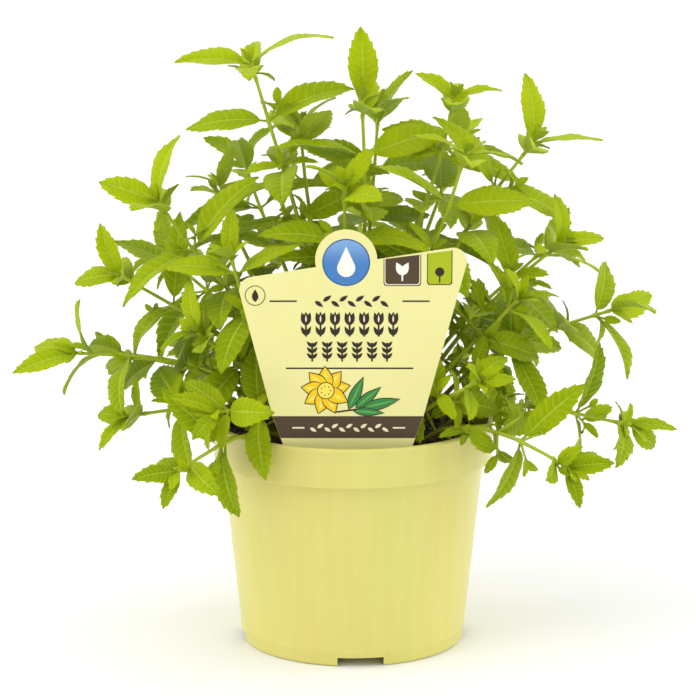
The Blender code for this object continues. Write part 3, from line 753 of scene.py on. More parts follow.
class Crowd:
    """The solids that are already placed, each with its box, for finding what a new one would cross."""

    def __init__(self):
        self.items = []

    def add(self, owner, points, faces):
        low, high = box_of(points)
        self.items.append((owner, BVHTree.FromPolygons(points, faces), low, high))

    def crosses(self, owner, points, faces, own_too=False):
        low, high = box_of(points)
        tree = None
        for other, other_tree, other_low, other_high in self.items:
            if other == owner and not own_too:
                continue
            if any(low[k] > other_high[k] or high[k] < other_low[k] for k in range(3)):
                continue
            tree = tree or BVHTree.FromPolygons(points, faces)
            if tree.overlap(other_tree):
                return True
        return False


def root_place(guide, shift):
    """Where a stem leaves the soil: towards its tip, and further out the lower it leans."""
    azimuth = math.atan2(guide.tip[1], guide.tip[0])
    reach = math.hypot(guide.tip[0], guide.tip[1])
    low = max(0.0, (TALLEST_TIP - guide.tip[2]) / (TALLEST_TIP - LOWEST_TIP))
    out = ROOT_REACH + ROOT_SHARE * reach + ROOT_SPREAD * low
    if guide.tip[1] < LABEL_SIDE and abs(guide.tip[0]) < abs(LABEL_SIDE):
        out = min(out, LABEL_REACH)
    return Vector((out * math.cos(azimuth + shift), out * math.sin(azimuth + shift), SOIL_TOP))


def stem_path(guide, shift, arch, steps=6):
    """The stem's centre line, from the bottom of its hole in the soil to its tip."""
    tip = Vector(guide.tip)
    root = root_place(guide, shift)
    span = (tip - root).length
    azimuth = math.atan2(tip.y - root.y, tip.x - root.x)
    away = direction(azimuth, math.radians(guide.rise))
    finish = direction(azimuth, math.radians(guide.finish))
    one = root + away * span * (START_PULL + arch)
    two = tip - finish * span * (END_PULL + arch)
    path = [root - away * HOLE_DEPTH]
    for k in range(steps + 1):
        path.append(cubic(root, one, two, tip, k / steps))
    return path


def tapered(path):
    last = len(path) - 1
    return [STEM_BASE_RADIUS + (STEM_TIP_RADIUS - STEM_BASE_RADIUS) * k / last for k in range(last + 1)]


def along(path, distance_from_tip):
    """The point and direction of a path at a distance from its tip."""
    left = distance_from_tip
    for k in range(len(path) - 1, 1, -1):
        piece = path[k] - path[k - 1]
        if left <= piece.length:
            return path[k] - piece.normalized() * left, piece.normalized()
        left -= piece.length
    return None, None


def side_of(stem_way, roll):
    """The direction of the first leaf of a pair, turned by roll from the plane of the XZ axes."""
    side = Vector((0, 1, 0)).cross(stem_way)
    if side.length < 0.2:
        side = Vector((1, 0, 0))
    side = turned_about(side.normalized(), stem_way, roll)
    side.z *= LEAST_SLOPE + (1 - LEAST_SLOPE) * abs(stem_way.z)
    side = side - stem_way * side.dot(stem_way)
    return side.normalized()


def make_leaf(root, side, stem_way, opening, length, draws):
    """A leaf that leaves the stem at an angle, with its upper face towards the tip and the light."""
    way = (side * math.cos(opening) + stem_way * math.sin(opening)).normalized()
    outward = Vector((0, math.copysign(LEAN_OUT, root.y - LEAN_TURN), 0))
    face = stem_way + UP * LIGHT_PULL + outward
    face = face - way * face.dot(way)
    if face.length < 0.15:
        face = UP.cross(way).cross(way) * -1
    face = turned_about(face.normalized(), way, (draws[0] - 0.5) * ROLL_RANGE)
    bend = LEAST_BEND + BEND_RANGE * draws[1]
    half = length * LEAF_ASPECT / 2 * (LEAST_WIDTH + WIDTH_RANGE * draws[2])
    fold = math.radians(LEAST_FOLD + FOLD_RANGE * draws[3])
    sway = (draws[4] - 0.5) * SWAY_RANGE
    teeth = 3 if length > LONG_LEAF else 2 if length > MIDDLE_LEAF else 1
    return Leaf(root, way, face, length, half, bend, fold, sway, teeth)


def place_leaf(crowd, owner, leaves, node, opening, length, draws):
    """Adds a leaf where it clears its neighbours, and leaves it out if no small change frees it."""
    root, stem_way, side = node
    for trial, (turn, lift) in enumerate(TRIALS):
        way = turned_about(side, stem_way, math.radians(turn))
        shorter = length * (1.0 - SHORTER_BY * trial)
        leaf = make_leaf(root, way, stem_way, opening + math.radians(lift), shorter, draws)
        if crowd.crosses(owner, *leaf_solid(leaf, CROWD_CLEARANCE)):
            continue
        free = leaf._replace(root=leaf.root + leaf.along * STEM_CLEARANCE, length=leaf.length * FREE_SHARE)
        last = trial == len(TRIALS) - 1
        if not last and crowd.crosses(owner, *leaf_solid(free, CROWD_CLEARANCE), own_too=True):
            continue
        crowd.add(owner, *leaf_solid(leaf))
        leaves.append(leaf)
        return


def footed(path, clearance):
    """The radii of a stem grown by a clearance, with a wide foot that keeps the holes apart."""
    radii = [radius + clearance for radius in tapered(path)]
    return [FOOT_RADIUS, FOOT_RADIUS] + radii[2:]


def grow_trunk(crowd, guide):
    """A bare stem, swung sideways and arched more until it clears the stems before it."""
    for trial in range(TRUNK_TRIALS):
        swing = SWING_STEP * ((trial + 1) // 2) * (1 if trial % 2 else -1)
        path = stem_path(guide, swing, ARCH_STEP * (trial % 4))
        if not crowd.crosses(guide.name, *tube(path, footed(path, CROWD_CLEARANCE), STEM_SIDES)):
            break
    crowd.add(guide.name, *tube(path, footed(path, 0.0), STEM_SIDES))
    return Stem(guide.name, path, tapered(path), [])


def leaf_nodes(guide, path):
    """Where leaf pairs stand on a stem, from its tip down, each a quarter turn from the last.

    A node is its point, the stem's direction there, the side of its first leaf, and the length and
    opening angle of its leaves.
    """
    total = sum((path[k + 1] - path[k]).length for k in range(1, len(path) - 1))
    nodes = []
    back = TOP_PAIR
    while back < total * (1 - guide.bare):
        pair = len(nodes)
        point, way = along(path, back)
        side = side_of(way, math.radians(guide.roll) + pair * math.pi / 2)
        if pair == 0:
            length, opening = guide.crown * BIG_LEAF, guide.spread
        elif pair == 1:
            length, opening = SECOND_LEAF * BIG_LEAF, PAIR_RISE
        else:
            length, opening = BIG_LEAF * (LOWER_LEAF - LOWER_FADE * pair), PAIR_RISE - RISE_FADE * pair
        nodes.append((point, way, side, length * guide.size, math.radians(opening)))
        step = FIRST_STEP if pair == 0 else SECOND_STEP if pair == 1 else 1.0
        back += NODE_SPACING * step * (1 + SPACING_SPREAD * math.sin(5 * pair + 9 * guide.size + guide.roll))
    return nodes


def grow_leaves(crowd, guide, stem, rng):
    """The leaf pairs of one stem."""
    for point, way, side, length, opening in leaf_nodes(guide, stem.path):
        for sign in (1, -1):
            draws = [rng.random() for _ in range(5)]
            lifted = opening + math.radians(rng.uniform(-RISE_SPREAD, RISE_SPREAD))
            grown = length * rng.uniform(*LENGTH_SPREAD)
            place_leaf(crowd, guide.name, stem.leaves, (point, way, side * sign), lifted, grown, draws)


def grow_plant():
    """All stems, then their leaves, each clear of the pot, the label and one another."""
    crowd = Crowd()
    crowd.add("pot", *turned(floor_profile(), POT_STEPS))
    crowd.add("label", *label_solid())
    stems = [grow_trunk(crowd, guide) for guide in GUIDES]
    for number, (guide, stem) in enumerate(zip(GUIDES, stems)):
        grow_leaves(crowd, guide, stem, random.Random(SEED * 1000 + number))
    return crowd, stems


# Materials


class Graph:
    """Builds shader nodes from short calls. A number or a socket can feed any input."""

    def __init__(self, name):
        self.material = bpy.data.materials.new(name)
        self.material.use_nodes = True
        self.tree = self.material.node_tree
        self.shader = self.tree.nodes["Principled BSDF"]

    def node(self, kind, inputs=None, **settings):
        made = self.tree.nodes.new(kind)
        for key, value in settings.items():
            setattr(made, key, value)
        for key, value in (inputs or {}).items():
            self.feed(made.inputs[key], value)
        return made

    def feed(self, socket, value):
        if isinstance(value, bpy.types.NodeSocket):
            self.tree.links.new(value, socket)
        else:
            socket.default_value = value

    def math(self, operation, one, two=0.0):
        return self.node("ShaderNodeMath", {0: one, 1: two}, operation=operation).outputs[0]

    def times(self, one, two):
        return self.math("MULTIPLY", one, two)

    def plus(self, one, two):
        return self.math("ADD", one, two)

    def minus(self, one, two):
        return self.math("SUBTRACT", one, two)

    def ramp(self, value, low, high, to_low=0.0, to_high=1.0):
        inputs = {"Value": value, "From Min": low, "From Max": high, "To Min": to_low, "To Max": to_high}
        made = self.node("ShaderNodeMapRange", inputs, interpolation_type="SMOOTHSTEP")
        return made.outputs["Result"]

    def mix(self, share, one, two):
        made = self.node("ShaderNodeMix", data_type="RGBA")
        self.feed(made.inputs[0], share)
        self.feed(made.inputs[6], one)
        self.feed(made.inputs[7], two)
        return made.outputs[2]

    def object_place(self):
        return self.node("ShaderNodeTexCoord").outputs["Object"]

    def blade_place(self):
        """How far along a blade or stem a point lies, and how far across or round it."""
        place = self.node("ShaderNodeUVMap", uv_map="blade").outputs["UV"]
        parts = self.node("ShaderNodeSeparateXYZ", {"Vector": place})
        return parts.outputs["X"], parts.outputs["Y"]

    def noise(self, scale, detail=3.0, roughness=0.5, stretch=None):
        place = self.object_place()
        if stretch:
            place = self.node("ShaderNodeMapping", {"Vector": place, "Scale": stretch}).outputs["Vector"]
        inputs = {"Scale": scale, "Detail": detail, "Roughness": roughness, "Vector": place}
        return self.node("ShaderNodeTexNoise", inputs).outputs["Fac"]

    def bump(self, height, strength, distance):
        inputs = {"Height": height, "Strength": strength, "Distance": distance}
        self.feed(self.shader.inputs["Normal"], self.node("ShaderNodeBump", inputs).outputs["Normal"])

    def set(self, **values):
        for name, value in values.items():
            self.feed(self.shader.inputs[name.replace("_", " ")], value)


def colour(red, green, blue):
    return (red, green, blue, 1.0)


def leaf_material(name, young, old, pale, vein_lift, vein_share):
    """A blade's face: veins from its own coordinates, blotches, and a tone that goes with its age and with
    painted shade on low leaves.
    """
    graph = Graph(name)
    u, v = graph.blade_place()
    across = graph.times(graph.math("ABSOLUTE", graph.minus(v, 0.5)), 2.0)
    midrib = graph.ramp(across, 0.03, 0.11, 1.0, 0.0)
    slant = graph.times(graph.math("POWER", across, VEIN_CURVE), VEIN_SLANT)
    phase = graph.times(graph.minus(u, slant), VEIN_COUNT)
    veins = graph.ramp(graph.math("PINGPONG", phase, 0.5), 0.03, 0.19, 1.0, 0.0)
    veins = graph.times(veins, graph.ramp(across, 0.80, 1.0, 1.0, 0.35))
    net = graph.node("ShaderNodeTexVoronoi", {"Scale": 900.0}, feature="DISTANCE_TO_EDGE")
    net_lines = graph.ramp(net.outputs["Distance"], 0.0, 0.12, 1.0, 0.0)
    tone = graph.node("ShaderNodeAttribute", attribute_name="tone").outputs["Fac"]
    blotch = graph.ramp(graph.noise(120.0, 4.0), 0.30, 0.75)
    # The tone pulls the colour towards the old, dark green both with age and with painted shade low in the
    # plant
    age = graph.plus(graph.times(tone, 0.85), graph.times(blotch, 0.15))
    base = graph.mix(age, colour(*young), colour(*old))
    for lines, share in ((veins, vein_share), (net_lines, 0.12), (midrib, 0.75)):
        base = graph.mix(graph.times(lines, share), base, colour(*pale))
    graph.set(Base_Color=base, Roughness=graph.ramp(graph.noise(400.0, 2.0), 0.3, 0.7, 0.42, 0.58))
    graph.set(Subsurface_Weight=0.3, Subsurface_Scale=0.0014, Subsurface_Radius=(0.8, 1.0, 0.1))
    graph.set(Specular_IOR_Level=0.16, Specular_Tint=colour(0.85, 1.0, 0.30))
    height = graph.plus(graph.times(veins, 0.7), graph.times(midrib, 1.0))
    height = graph.plus(height, graph.times(net_lines, 0.18))
    graph.bump(graph.times(height, vein_lift), 0.9, 0.00042)
    return graph.material


def stem_material():
    """Green bark with fine ridges along it, which turns reddish brown and woody lower down."""
    graph = Graph("stem_bark")
    along_stem, round_stem = graph.blade_place()
    streaks = graph.noise(90.0, 4.0, stretch=(1.0, 1.0, 0.25))
    woody = graph.plus(along_stem, graph.times(graph.minus(streaks, 0.5), 0.7))
    woody = graph.ramp(woody, 0.12, 0.48, 1.0, 0.0)
    green = graph.mix(streaks, colour(0.33, 0.42, 0.012), colour(0.48, 0.55, 0.045))
    brown = graph.mix(streaks, colour(0.21, 0.11, 0.035), colour(0.34, 0.22, 0.07))
    graph.set(Base_Color=graph.mix(graph.times(woody, 0.8), green, brown), Roughness=0.55)
    graph.set(Specular_IOR_Level=0.25, Specular_Tint=colour(0.9, 1.0, 0.5))
    graph.set(Subsurface_Weight=0.1, Subsurface_Scale=0.0008, Subsurface_Radius=(0.8, 1.0, 0.3))
    ridges = graph.math("SINE", graph.times(round_stem, 12 * math.pi))
    graph.bump(graph.plus(graph.times(ridges, 0.5), streaks), 0.5, 0.00025)
    return graph.material


def pot_material():
    """Satin moulded plastic with faint streaks down the wall and a fine grain."""
    graph = Graph("pot_plastic")
    streaks = graph.noise(55.0, 3.0, stretch=(1.0, 1.0, 0.06))
    fine_streaks = graph.ramp(graph.noise(170.0, 2.0, stretch=(1.0, 1.0, 0.02)), 0.35, 0.65)
    base = graph.mix(streaks, colour(0.655, 0.585, 0.142), colour(0.705, 0.635, 0.180))
    greener = graph.ramp(graph.noise(38.0, 2.0, stretch=(1.0, 1.0, 0.08)), 0.40, 0.60, 0.0, 0.55)
    base = graph.mix(greener, base, colour(0.650, 0.640, 0.170))
    base = graph.mix(graph.times(fine_streaks, 0.30), base, colour(0.735, 0.665, 0.205))
    grain = graph.noise(1600.0, 2.0)
    graph.set(Base_Color=base, Roughness=graph.ramp(grain, 0.3, 0.7, 0.29, 0.37))
    graph.set(Subsurface_Weight=0.08, Subsurface_Scale=0.002, Subsurface_Radius=(1.0, 0.9, 0.4))
    graph.bump(graph.plus(graph.times(streaks, 1.0), graph.times(grain, 0.08)), 0.25, 0.0004)
    return graph.material


def soil_material(name, dark, light, roughness):
    """Crumbly matter between two tones, with damp dark patches."""
    graph = Graph(name)
    clumps = graph.noise(420.0, 6.0, roughness=0.7)
    patches = graph.noise(70.0, 3.0)
    base = graph.mix(graph.ramp(clumps, 0.35, 0.72), colour(*dark), colour(*light))
    base = graph.mix(graph.ramp(patches, 0.45, 0.75, 0.0, 0.5), base, colour(0.02, 0.013, 0.009))
    graph.set(Base_Color=base, Roughness=roughness)
    graph.bump(clumps, 0.9, 0.0009)
    return graph.material


def ink_material(name, tone, roughness):
    """Printed card: a flat colour with the slight unevenness of ink and paper."""
    graph = Graph("ink_" + name)
    fibres = graph.noise(700.0, 4.0, roughness=0.65)
    mottle = graph.noise(90.0, 3.0)
    darker = tuple(part * (1 - INK_UNEVENNESS) for part in tone)
    lighter = tuple(min(part * (1 + INK_UNEVENNESS), 1.0) for part in tone)
    base = graph.mix(mottle, colour(*darker), colour(*lighter))
    base = graph.mix(graph.ramp(fibres, 0.55, 0.8, 0.0, 0.25), base, colour(*lighter))
    graph.set(Base_Color=base, Roughness=roughness, Specular_IOR_Level=0.3)
    graph.bump(fibres, 0.12, 0.00008)
    return graph.material


def badge_material():
    """Blue ink that lightens towards the top of the badge."""
    graph = Graph("ink_blue")
    parts = graph.node("ShaderNodeSeparateXYZ", {"Vector": graph.object_place()})
    rise = graph.ramp(parts.outputs["Z"], 0.184, 0.197)
    mottle = graph.noise(300.0, 3.0)
    low = graph.mix(mottle, colour(0.035, 0.175, 0.47), colour(0.045, 0.20, 0.52))
    graph.set(Base_Color=graph.mix(rise, low, colour(0.20, 0.38, 0.66)), Roughness=0.3)
    graph.bump(mottle, 0.1, 0.00006)
    return graph.material


def card_material():
    """Pale uncoated card with fibres and a few tiny flecks."""
    graph = Graph("label_card")
    fibres = graph.noise(700.0, 4.0, roughness=0.65)
    mottle = graph.noise(60.0, 3.0)
    base = graph.mix(mottle, colour(0.79, 0.745, 0.300), colour(0.82, 0.775, 0.335))
    base = graph.mix(graph.ramp(fibres, 0.55, 0.8, 0.0, 0.3), base, colour(0.85, 0.81, 0.40))
    flecks = graph.node("ShaderNodeTexVoronoi", {"Scale": 260.0, "Randomness": 1.0}, feature="F1")
    spots = graph.ramp(flecks.outputs["Distance"], 0.05, 0.12, 1.0, 0.0)
    sparse = graph.ramp(graph.noise(170.0, 1.0), 0.60, 0.66, 0.0, 0.55)
    base = graph.mix(graph.times(spots, sparse), base, colour(0.50, 0.40, 0.14))
    graph.set(Base_Color=base, Roughness=0.5, Specular_IOR_Level=0.35)
    graph.bump(fibres, 0.15, 0.00008)
    return graph.material


# Meshes


def mesh_object(name, points, faces, materials, slots=None, uvs=None, tones=None, sharp=50):
    """An object at the frame's place, smooth but for edges sharper than the sharp angle in degrees."""
    mesh = bpy.data.meshes.new(name)
    mesh.from_pydata([tuple(Vector(point) + AXIS) for point in points], [], faces)
    for material in materials:
        mesh.materials.append(material)
    if slots:
        mesh.polygons.foreach_set("material_index", slots)
    if uvs:
        layer = mesh.uv_layers.new(name="blade")
        spread = [part for face in mesh.polygons for k in face.vertices for part in uvs[k]]
        layer.data.foreach_set("uv", spread)
    if tones:
        mesh.attributes.new("tone", "FLOAT", "POINT").data.foreach_set("value", tones)
    mesh.update()
    mesh.shade_smooth()
    mesh.set_sharp_from_angle(angle=math.radians(sharp))
    obj = bpy.data.objects.new(name, mesh)
    bpy.context.scene.collection.objects.link(obj)
    return obj


def dress(obj, slot, *nodes):
    """The piece rides on the part's one body and stands for CAD nodes, which it hides. Its slot is not used.
    """
    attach(obj, "root")
    if nodes:
        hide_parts(*nodes)


class Gather:
    """Collects many small shapes as one mesh with materials, blade coordinates and tones."""

    def __init__(self):
        self.points, self.faces, self.slots, self.uvs, self.tones = [], [], [], [], []

    def add(self, points, faces, slots, uvs, tone):
        first = len(self.points)
        self.points += points
        self.faces += [tuple(first + k for k in face) for face in faces]
        self.slots += slots
        self.uvs += uvs
        self.tones += [tone] * len(points)

    def build(self, name, materials):
        return mesh_object(name, self.points, self.faces, materials, self.slots, self.uvs, self.tones)


# Fine stems and leaves


def blade_rows(leaf, rng, coarse):
    """(u, change of half width in metres, forward shift of u) for each row across a fine blade."""
    teeth = max(4, round(leaf.length * TOOTHED_SHARE / TEETH_SPACING))
    if coarse:
        teeth = max(3, teeth // 2)
    rows = [(u, 0.0, 0.0) for u in PLAIN_ROWS]
    depth = min(TOOTH_DEPTH, leaf.half * TOOTH_SHARE)
    step = (TEETH_END - TEETH_START) / teeth
    for k in range(teeth):
        u = TEETH_START + step * k
        shrink = min(1.0, LOWEST_TOOTH + TOOTH_GROWTH * k / teeth) * (1.0 - TOOTH_FADE * k / teeth)
        rows.append((u, -depth * shrink, 0.0))
        uneven = depth * shrink * rng.uniform(*TOOTH_RANGE)
        if not coarse:
            rows.append((u + step * BACK_SHARE, -BACK_SHARE * uneven, 0.0))
        peak = u + step * rng.uniform(*PEAK_RANGE)
        rows.append((peak, PEAK_SHARE * uneven, step * TOOTH_LEAN))
    return rows + [(u, -depth * share, 0.0) for u, share in TIP_ROWS]


def fine_leaf(gather, leaf, tone, seed, coarse=False):
    """A closed thin blade with teeth, a keeled midrib, swelling between the veins and a wavy edge."""
    rng = random.Random(seed)
    columns = SMALL_COLUMNS if coarse else COLUMNS
    rows = blade_rows(leaf, rng, coarse)
    waves = rng.uniform(*WAVE_RANGE)
    start = rng.uniform(0, 2 * math.pi)
    wave_height = min(WAVE_HEIGHT, leaf.length * WAVE_SHARE)
    arch = min(ARCH_HEIGHT, leaf.half * ARCH_SHARE)
    points, uvs = [], []
    for upper in (True, False):
        for u, change, shift in rows:
            half = max(blade_half_width(leaf, u) + change, LEAST_HALF_WIDTH)
            grown = min(max((u - BLADE_START) / BLADE_RUN, 0.0), 1.0)
            body = (1 - grown) * STALK_HALF + grown * BLADE_HALF
            for s in columns:
                arched = math.sin(math.pi * abs(s))
                turn = 2 * math.pi * waves * u + start + (s > 0) * WAVE_SHIFT
                vein = 2 * math.pi * VEIN_COUNT * (u - VEIN_SLANT * abs(s) ** VEIN_CURVE) + math.pi
                swell = VEIN_SWELL * grown * arched * math.cos(vein)
                lift = wave_height * grown * s * s * math.sin(turn) + swell + arch * grown * arched
                thick = body * (1 - s * s) ** 0.5
                if s == 0.0:
                    lift -= FURROW_DEPTH * grown
                    thick = body if upper else body + KEEL_DEPTH * (1 - u)
                here = u + shift * abs(s) ** 3
                points.append(blade_point(leaf, here, half * s, lift + (thick if upper else -thick)))
                uvs.append((here, 0.5 + 0.5 * s))
    points.append(blade_point(leaf, 1.0, 0.0))
    uvs.append((1.0, 0.5))
    faces, slots = blade_faces(len(rows), len(columns))
    used = sorted({k for face in faces for k in face})
    renamed = {k: n for n, k in enumerate(used)}
    faces = [tuple(renamed[k] for k in face) for face in faces]
    gather.add([points[k] for k in used], faces, slots, [uvs[k] for k in used], tone)


def blade_faces(rows, across):
    """Faces and slots of a blade: its upper grid and its lower one share their edges, and a tip ends it."""
    count = rows * across
    tip = 2 * count
    faces, slots = [], []
    for row in range(rows - 1):
        for column in range(across - 1):
            low = row * across + column
            upper = (low, low + 1, low + 1 + across, low + across)
            lower = [k if k % across in (0, across - 1) else k + count for k in upper]
            faces += [upper, tuple(lower[::-1])]
            slots += [0, 1]
    last = count - across
    for column in range(across - 1):
        one, two = last + column, last + column + 1
        under_one = one if column == 0 else one + count
        under_two = two if column + 1 == across - 1 else two + count
        faces += [(one, two, tip), (under_two, under_one, tip)]
        slots += [0, 1]
    faces.append(tuple(range(across - 1, -1, -1)) + tuple(range(count + 1, count + across - 1)))
    slots.append(1)
    return faces, slots


def rounded_path(points, rounds=2):
    """Cuts the corners of a path, which keeps to its straight stretches."""
    for _ in range(rounds):
        cut = [points[0]]
        for one, two in zip(points, points[1:]):
            cut.append(one.lerp(two, 0.25))
            cut.append(one.lerp(two, 0.75))
        cut.append(points[-1])
        points = cut
    return points


def length_of(path):
    return sum((two - one).length for one, two in zip(path, path[1:]))


def fine_stem(gather, path, base, tip, nodes, youth=0.0):
    """A round stem along a path that swells at its leaf pairs. Its youth is 0 for a whole stem."""
    line = rounded_path(path)
    dense = [line[0]]
    for one, two in zip(line, line[1:]):
        parts = max(1, round((two - one).length / FINE_STEM_STEP))
        dense += [one.lerp(two, k / parts) for k in range(1, parts + 1)]
    total = length_of(dense)
    gone = 0.0
    radii, places = [], []
    for k, point in enumerate(dense):
        if k:
            gone += (point - dense[k - 1]).length
        share = gone / total
        swell = sum(math.exp(-((point - node).length / NODE_SPREAD) ** 2) for node in nodes)
        radius = base + (tip - base) * share
        radii.append(radius * (1 + NODE_SWELL * min(swell, 1.0)))
        places.append(share)
    sides = FINE_STEM_SIDES
    points, faces = tube(dense, radii, sides)
    uvs = [(youth + (1 - youth) * places[k // sides], (k % sides) / sides) for k in range(len(points))]
    gather.add(points, faces, [2] * len(faces), uvs, STEM_TONE)


def fits(crowd, owner, leaf, start, share, clearances):
    """Whether a small leaf clears other stems, and its outer part its own stem and leaves."""
    clear, own_clear = clearances
    if crowd.crosses(owner, *leaf_solid(leaf, clear)):
        return False
    outer = leaf._replace(root=leaf.root + leaf.along * start, length=leaf.length * share)
    return not crowd.crosses(owner, *leaf_solid(outer, own_clear), own_too=True)


def add_shoot(crowd, gather, owner, root, way, reach, rng, tone):
    """A short side shoot with two pairs of small leaves, where there is room for it."""
    tip = root + way * reach
    path = [root, root.lerp(tip, 0.5), tip]
    wide = [radius + CROWD_CLEARANCE for radius in SHOOT_RADII]
    if crowd.crosses(owner, *tube(path, wide, SHOOT_SIDES)):
        return
    grown = []
    roll = rng.uniform(0, math.pi)
    pairs = [(place, rng.uniform(*lengths), opening) for place, lengths, opening in SHOOT_PAIRS]
    for pair, (place, length, opening) in enumerate(pairs):
        node = root + way * reach * place
        side = turned_about(way.orthogonal().normalized(), way, roll + pair * math.pi / 2)
        for sign in (1, -1):
            draws = [rng.random() for _ in range(5)]
            leaf = make_leaf(node, side * sign, way, math.radians(opening), length, draws)
            if fits(crowd, owner, leaf, SHOOT_FOOT, SHOOT_FREE, SHOOT_CLEARANCES):
                crowd.add(owner, *leaf_solid(leaf))
                grown.append(leaf)
    if grown:
        fine_stem(gather, path, SHOOT_RADII[0], SHOOT_RADII[-1], [], youth=SHOOT_YOUTH)
        crowd.add(owner, *tube(path, SHOOT_RADII, SHOOT_SIDES))
        for leaf in grown:
            fine_leaf(gather, leaf, tone * rng.uniform(*SHOOT_TONES), rng.random(), coarse=True)


def add_side_shoots(crowd, gather, stem, nodes, rng):
    """Shoots in the corners between a stem and its leaves, with some corners left bare."""
    for point, way, side, *_ in nodes[1:]:
        for sign in (1, -1):
            if rng.random() < SHOOT_BARE:
                continue
            out = (way * SHOOT_RISE + side * sign * SHOOT_SIDEWAYS).normalized()
            reach = rng.uniform(*SHOOT_REACH)
            add_shoot(crowd, gather, stem.name, point, out, reach, rng, SHOOT_TONE)


def add_low_shoots(crowd, gather, stem, nodes, rng):
    """Small leafy shoots in crossed pairs along the lower part of a stem, below its leaf pairs."""
    total = length_of(stem.path[1:])
    lowest = place_on(stem.path[1:], nodes[-1][0]) if nodes else 0.0
    back = total - lowest + LOW_SHOOT_STEP * LOW_SHOOT_START
    turn = rng.uniform(0, math.pi)
    while back < total - LOW_SHOOT_FOOT:
        point, way = along(stem.path, back)
        side = turned_about(side_of(way, turn), way, rng.uniform(-LOW_SHOOT_TURN, LOW_SHOOT_TURN))
        for sign in (1, -1):
            out = (way * rng.uniform(*LOW_SHOOT_RISE) + side * sign).normalized()
            reach = rng.uniform(*LOW_SHOOT_REACH)
            add_shoot(crowd, gather, stem.name, point, out, reach, rng, LOW_SHOOT_TONE)
        turn += math.pi / 2
        back += LOW_SHOOT_STEP * rng.uniform(*LOW_SHOOT_RANGE)


def add_buds(crowd, gather, guide, stem, rng):
    """Young leaves folded round the stem's tip."""
    tip, way = along(stem.path, 0.0)
    roll = math.radians(guide.roll) + math.pi / 2
    for pair, (length, opening) in enumerate(BUDS):
        side = turned_about(side_of(way, roll), way, pair * math.pi / 2)
        root = tip + way * BUD_STEP * pair
        for sign in (1, -1):
            draws = [rng.random() * BUD_CURL for _ in range(5)]
            seed = rng.random()
            for turn in BUD_TURNS:
                out = turned_about(side * sign, way, turn)
                leaf = make_leaf(root, out, way, math.radians(opening), length, draws)
                if fits(crowd, stem.name, leaf, length * BUD_FOOT, 1 - BUD_FOOT, BUD_CLEARANCES):
                    crowd.add(stem.name, *leaf_solid(leaf))
                    fine_leaf(gather, leaf, 0.0, seed, coarse=True)
                    break


def leaf_tone(leaf, stem, rng):
    """Leaves near a tip are young and bright. Those further from it are older and darker, and low ones are
    darkened more by painted shade.
    """
    age = min((leaf.root - stem.path[-1]).length / AGE_REACH, 1.0)
    # Painted shade: leaves low over the soil are darkened towards the old colour
    shade = max(0.0, 1.0 - (leaf.root.z - SOIL_TOP) / SHADE_HEIGHT) * SHADE_SHARE
    tone = YOUNGEST_TONE + AGE_SHARE * age + shade + rng.uniform(-TONE_SPREAD, TONE_SPREAD)
    return min(max(tone, 0.0), 1.0)


def place_on(path, point):
    """How far along a path a point on it lies, in metres."""
    best, gone, found = math.inf, 0.0, 0.0
    for one, two in zip(path, path[1:]):
        piece = two - one
        share = min(max((point - one).dot(piece) / piece.length_squared, 0.0), 1.0)
        miss = (one + piece * share - point).length
        if miss < best:
            best, found = miss, gone + piece.length * share
        gone += piece.length
    return found


def dress_stem(crowd, guide, stem, rng, materials):
    """One leafy stem as one piece: its bark, leaves, buds and side shoots."""
    gather = Gather()
    nodes = leaf_nodes(guide, stem.path)
    pairs = [node[0] for node in nodes]
    knots = sorted(stem.path[1:] + pairs, key=lambda point: place_on(stem.path, point))
    fine_stem(gather, [stem.path[0]] + knots, STEM_BASE_RADIUS, STEM_TIP_RADIUS, pairs)
    for leaf in stem.leaves:
        fine_leaf(gather, leaf, leaf_tone(leaf, stem, rng), rng.random())
    add_buds(crowd, gather, guide, stem, rng)
    add_side_shoots(crowd, gather, stem, nodes, rng)
    add_low_shoots(crowd, gather, stem, nodes, rng)
    dress(gather.build("fine_" + stem.name, materials), "leaf_green", stem.name)


def dress_plant():
    """Dresses all stems and returns the places where they leave the soil."""
    top = ((0.45, 0.58, 0.0005), (0.135, 0.22, 0.0003), (0.58, 0.69, 0.06), -1.0, 0.32)
    under = ((0.42, 0.53, 0.030), (0.20, 0.30, 0.008), (0.56, 0.65, 0.12), 1.0, 0.46)
    materials = [leaf_material("leaf_top", *top), leaf_material("leaf_under", *under), stem_material()]
    crowd, stems = grow_plant()
    for number, (guide, stem) in enumerate(zip(GUIDES, stems)):
        dress_stem(crowd, guide, stem, random.Random(SEED * 2000 + number), materials)
    return [stem.path[1] for stem in stems]


# Fine pot


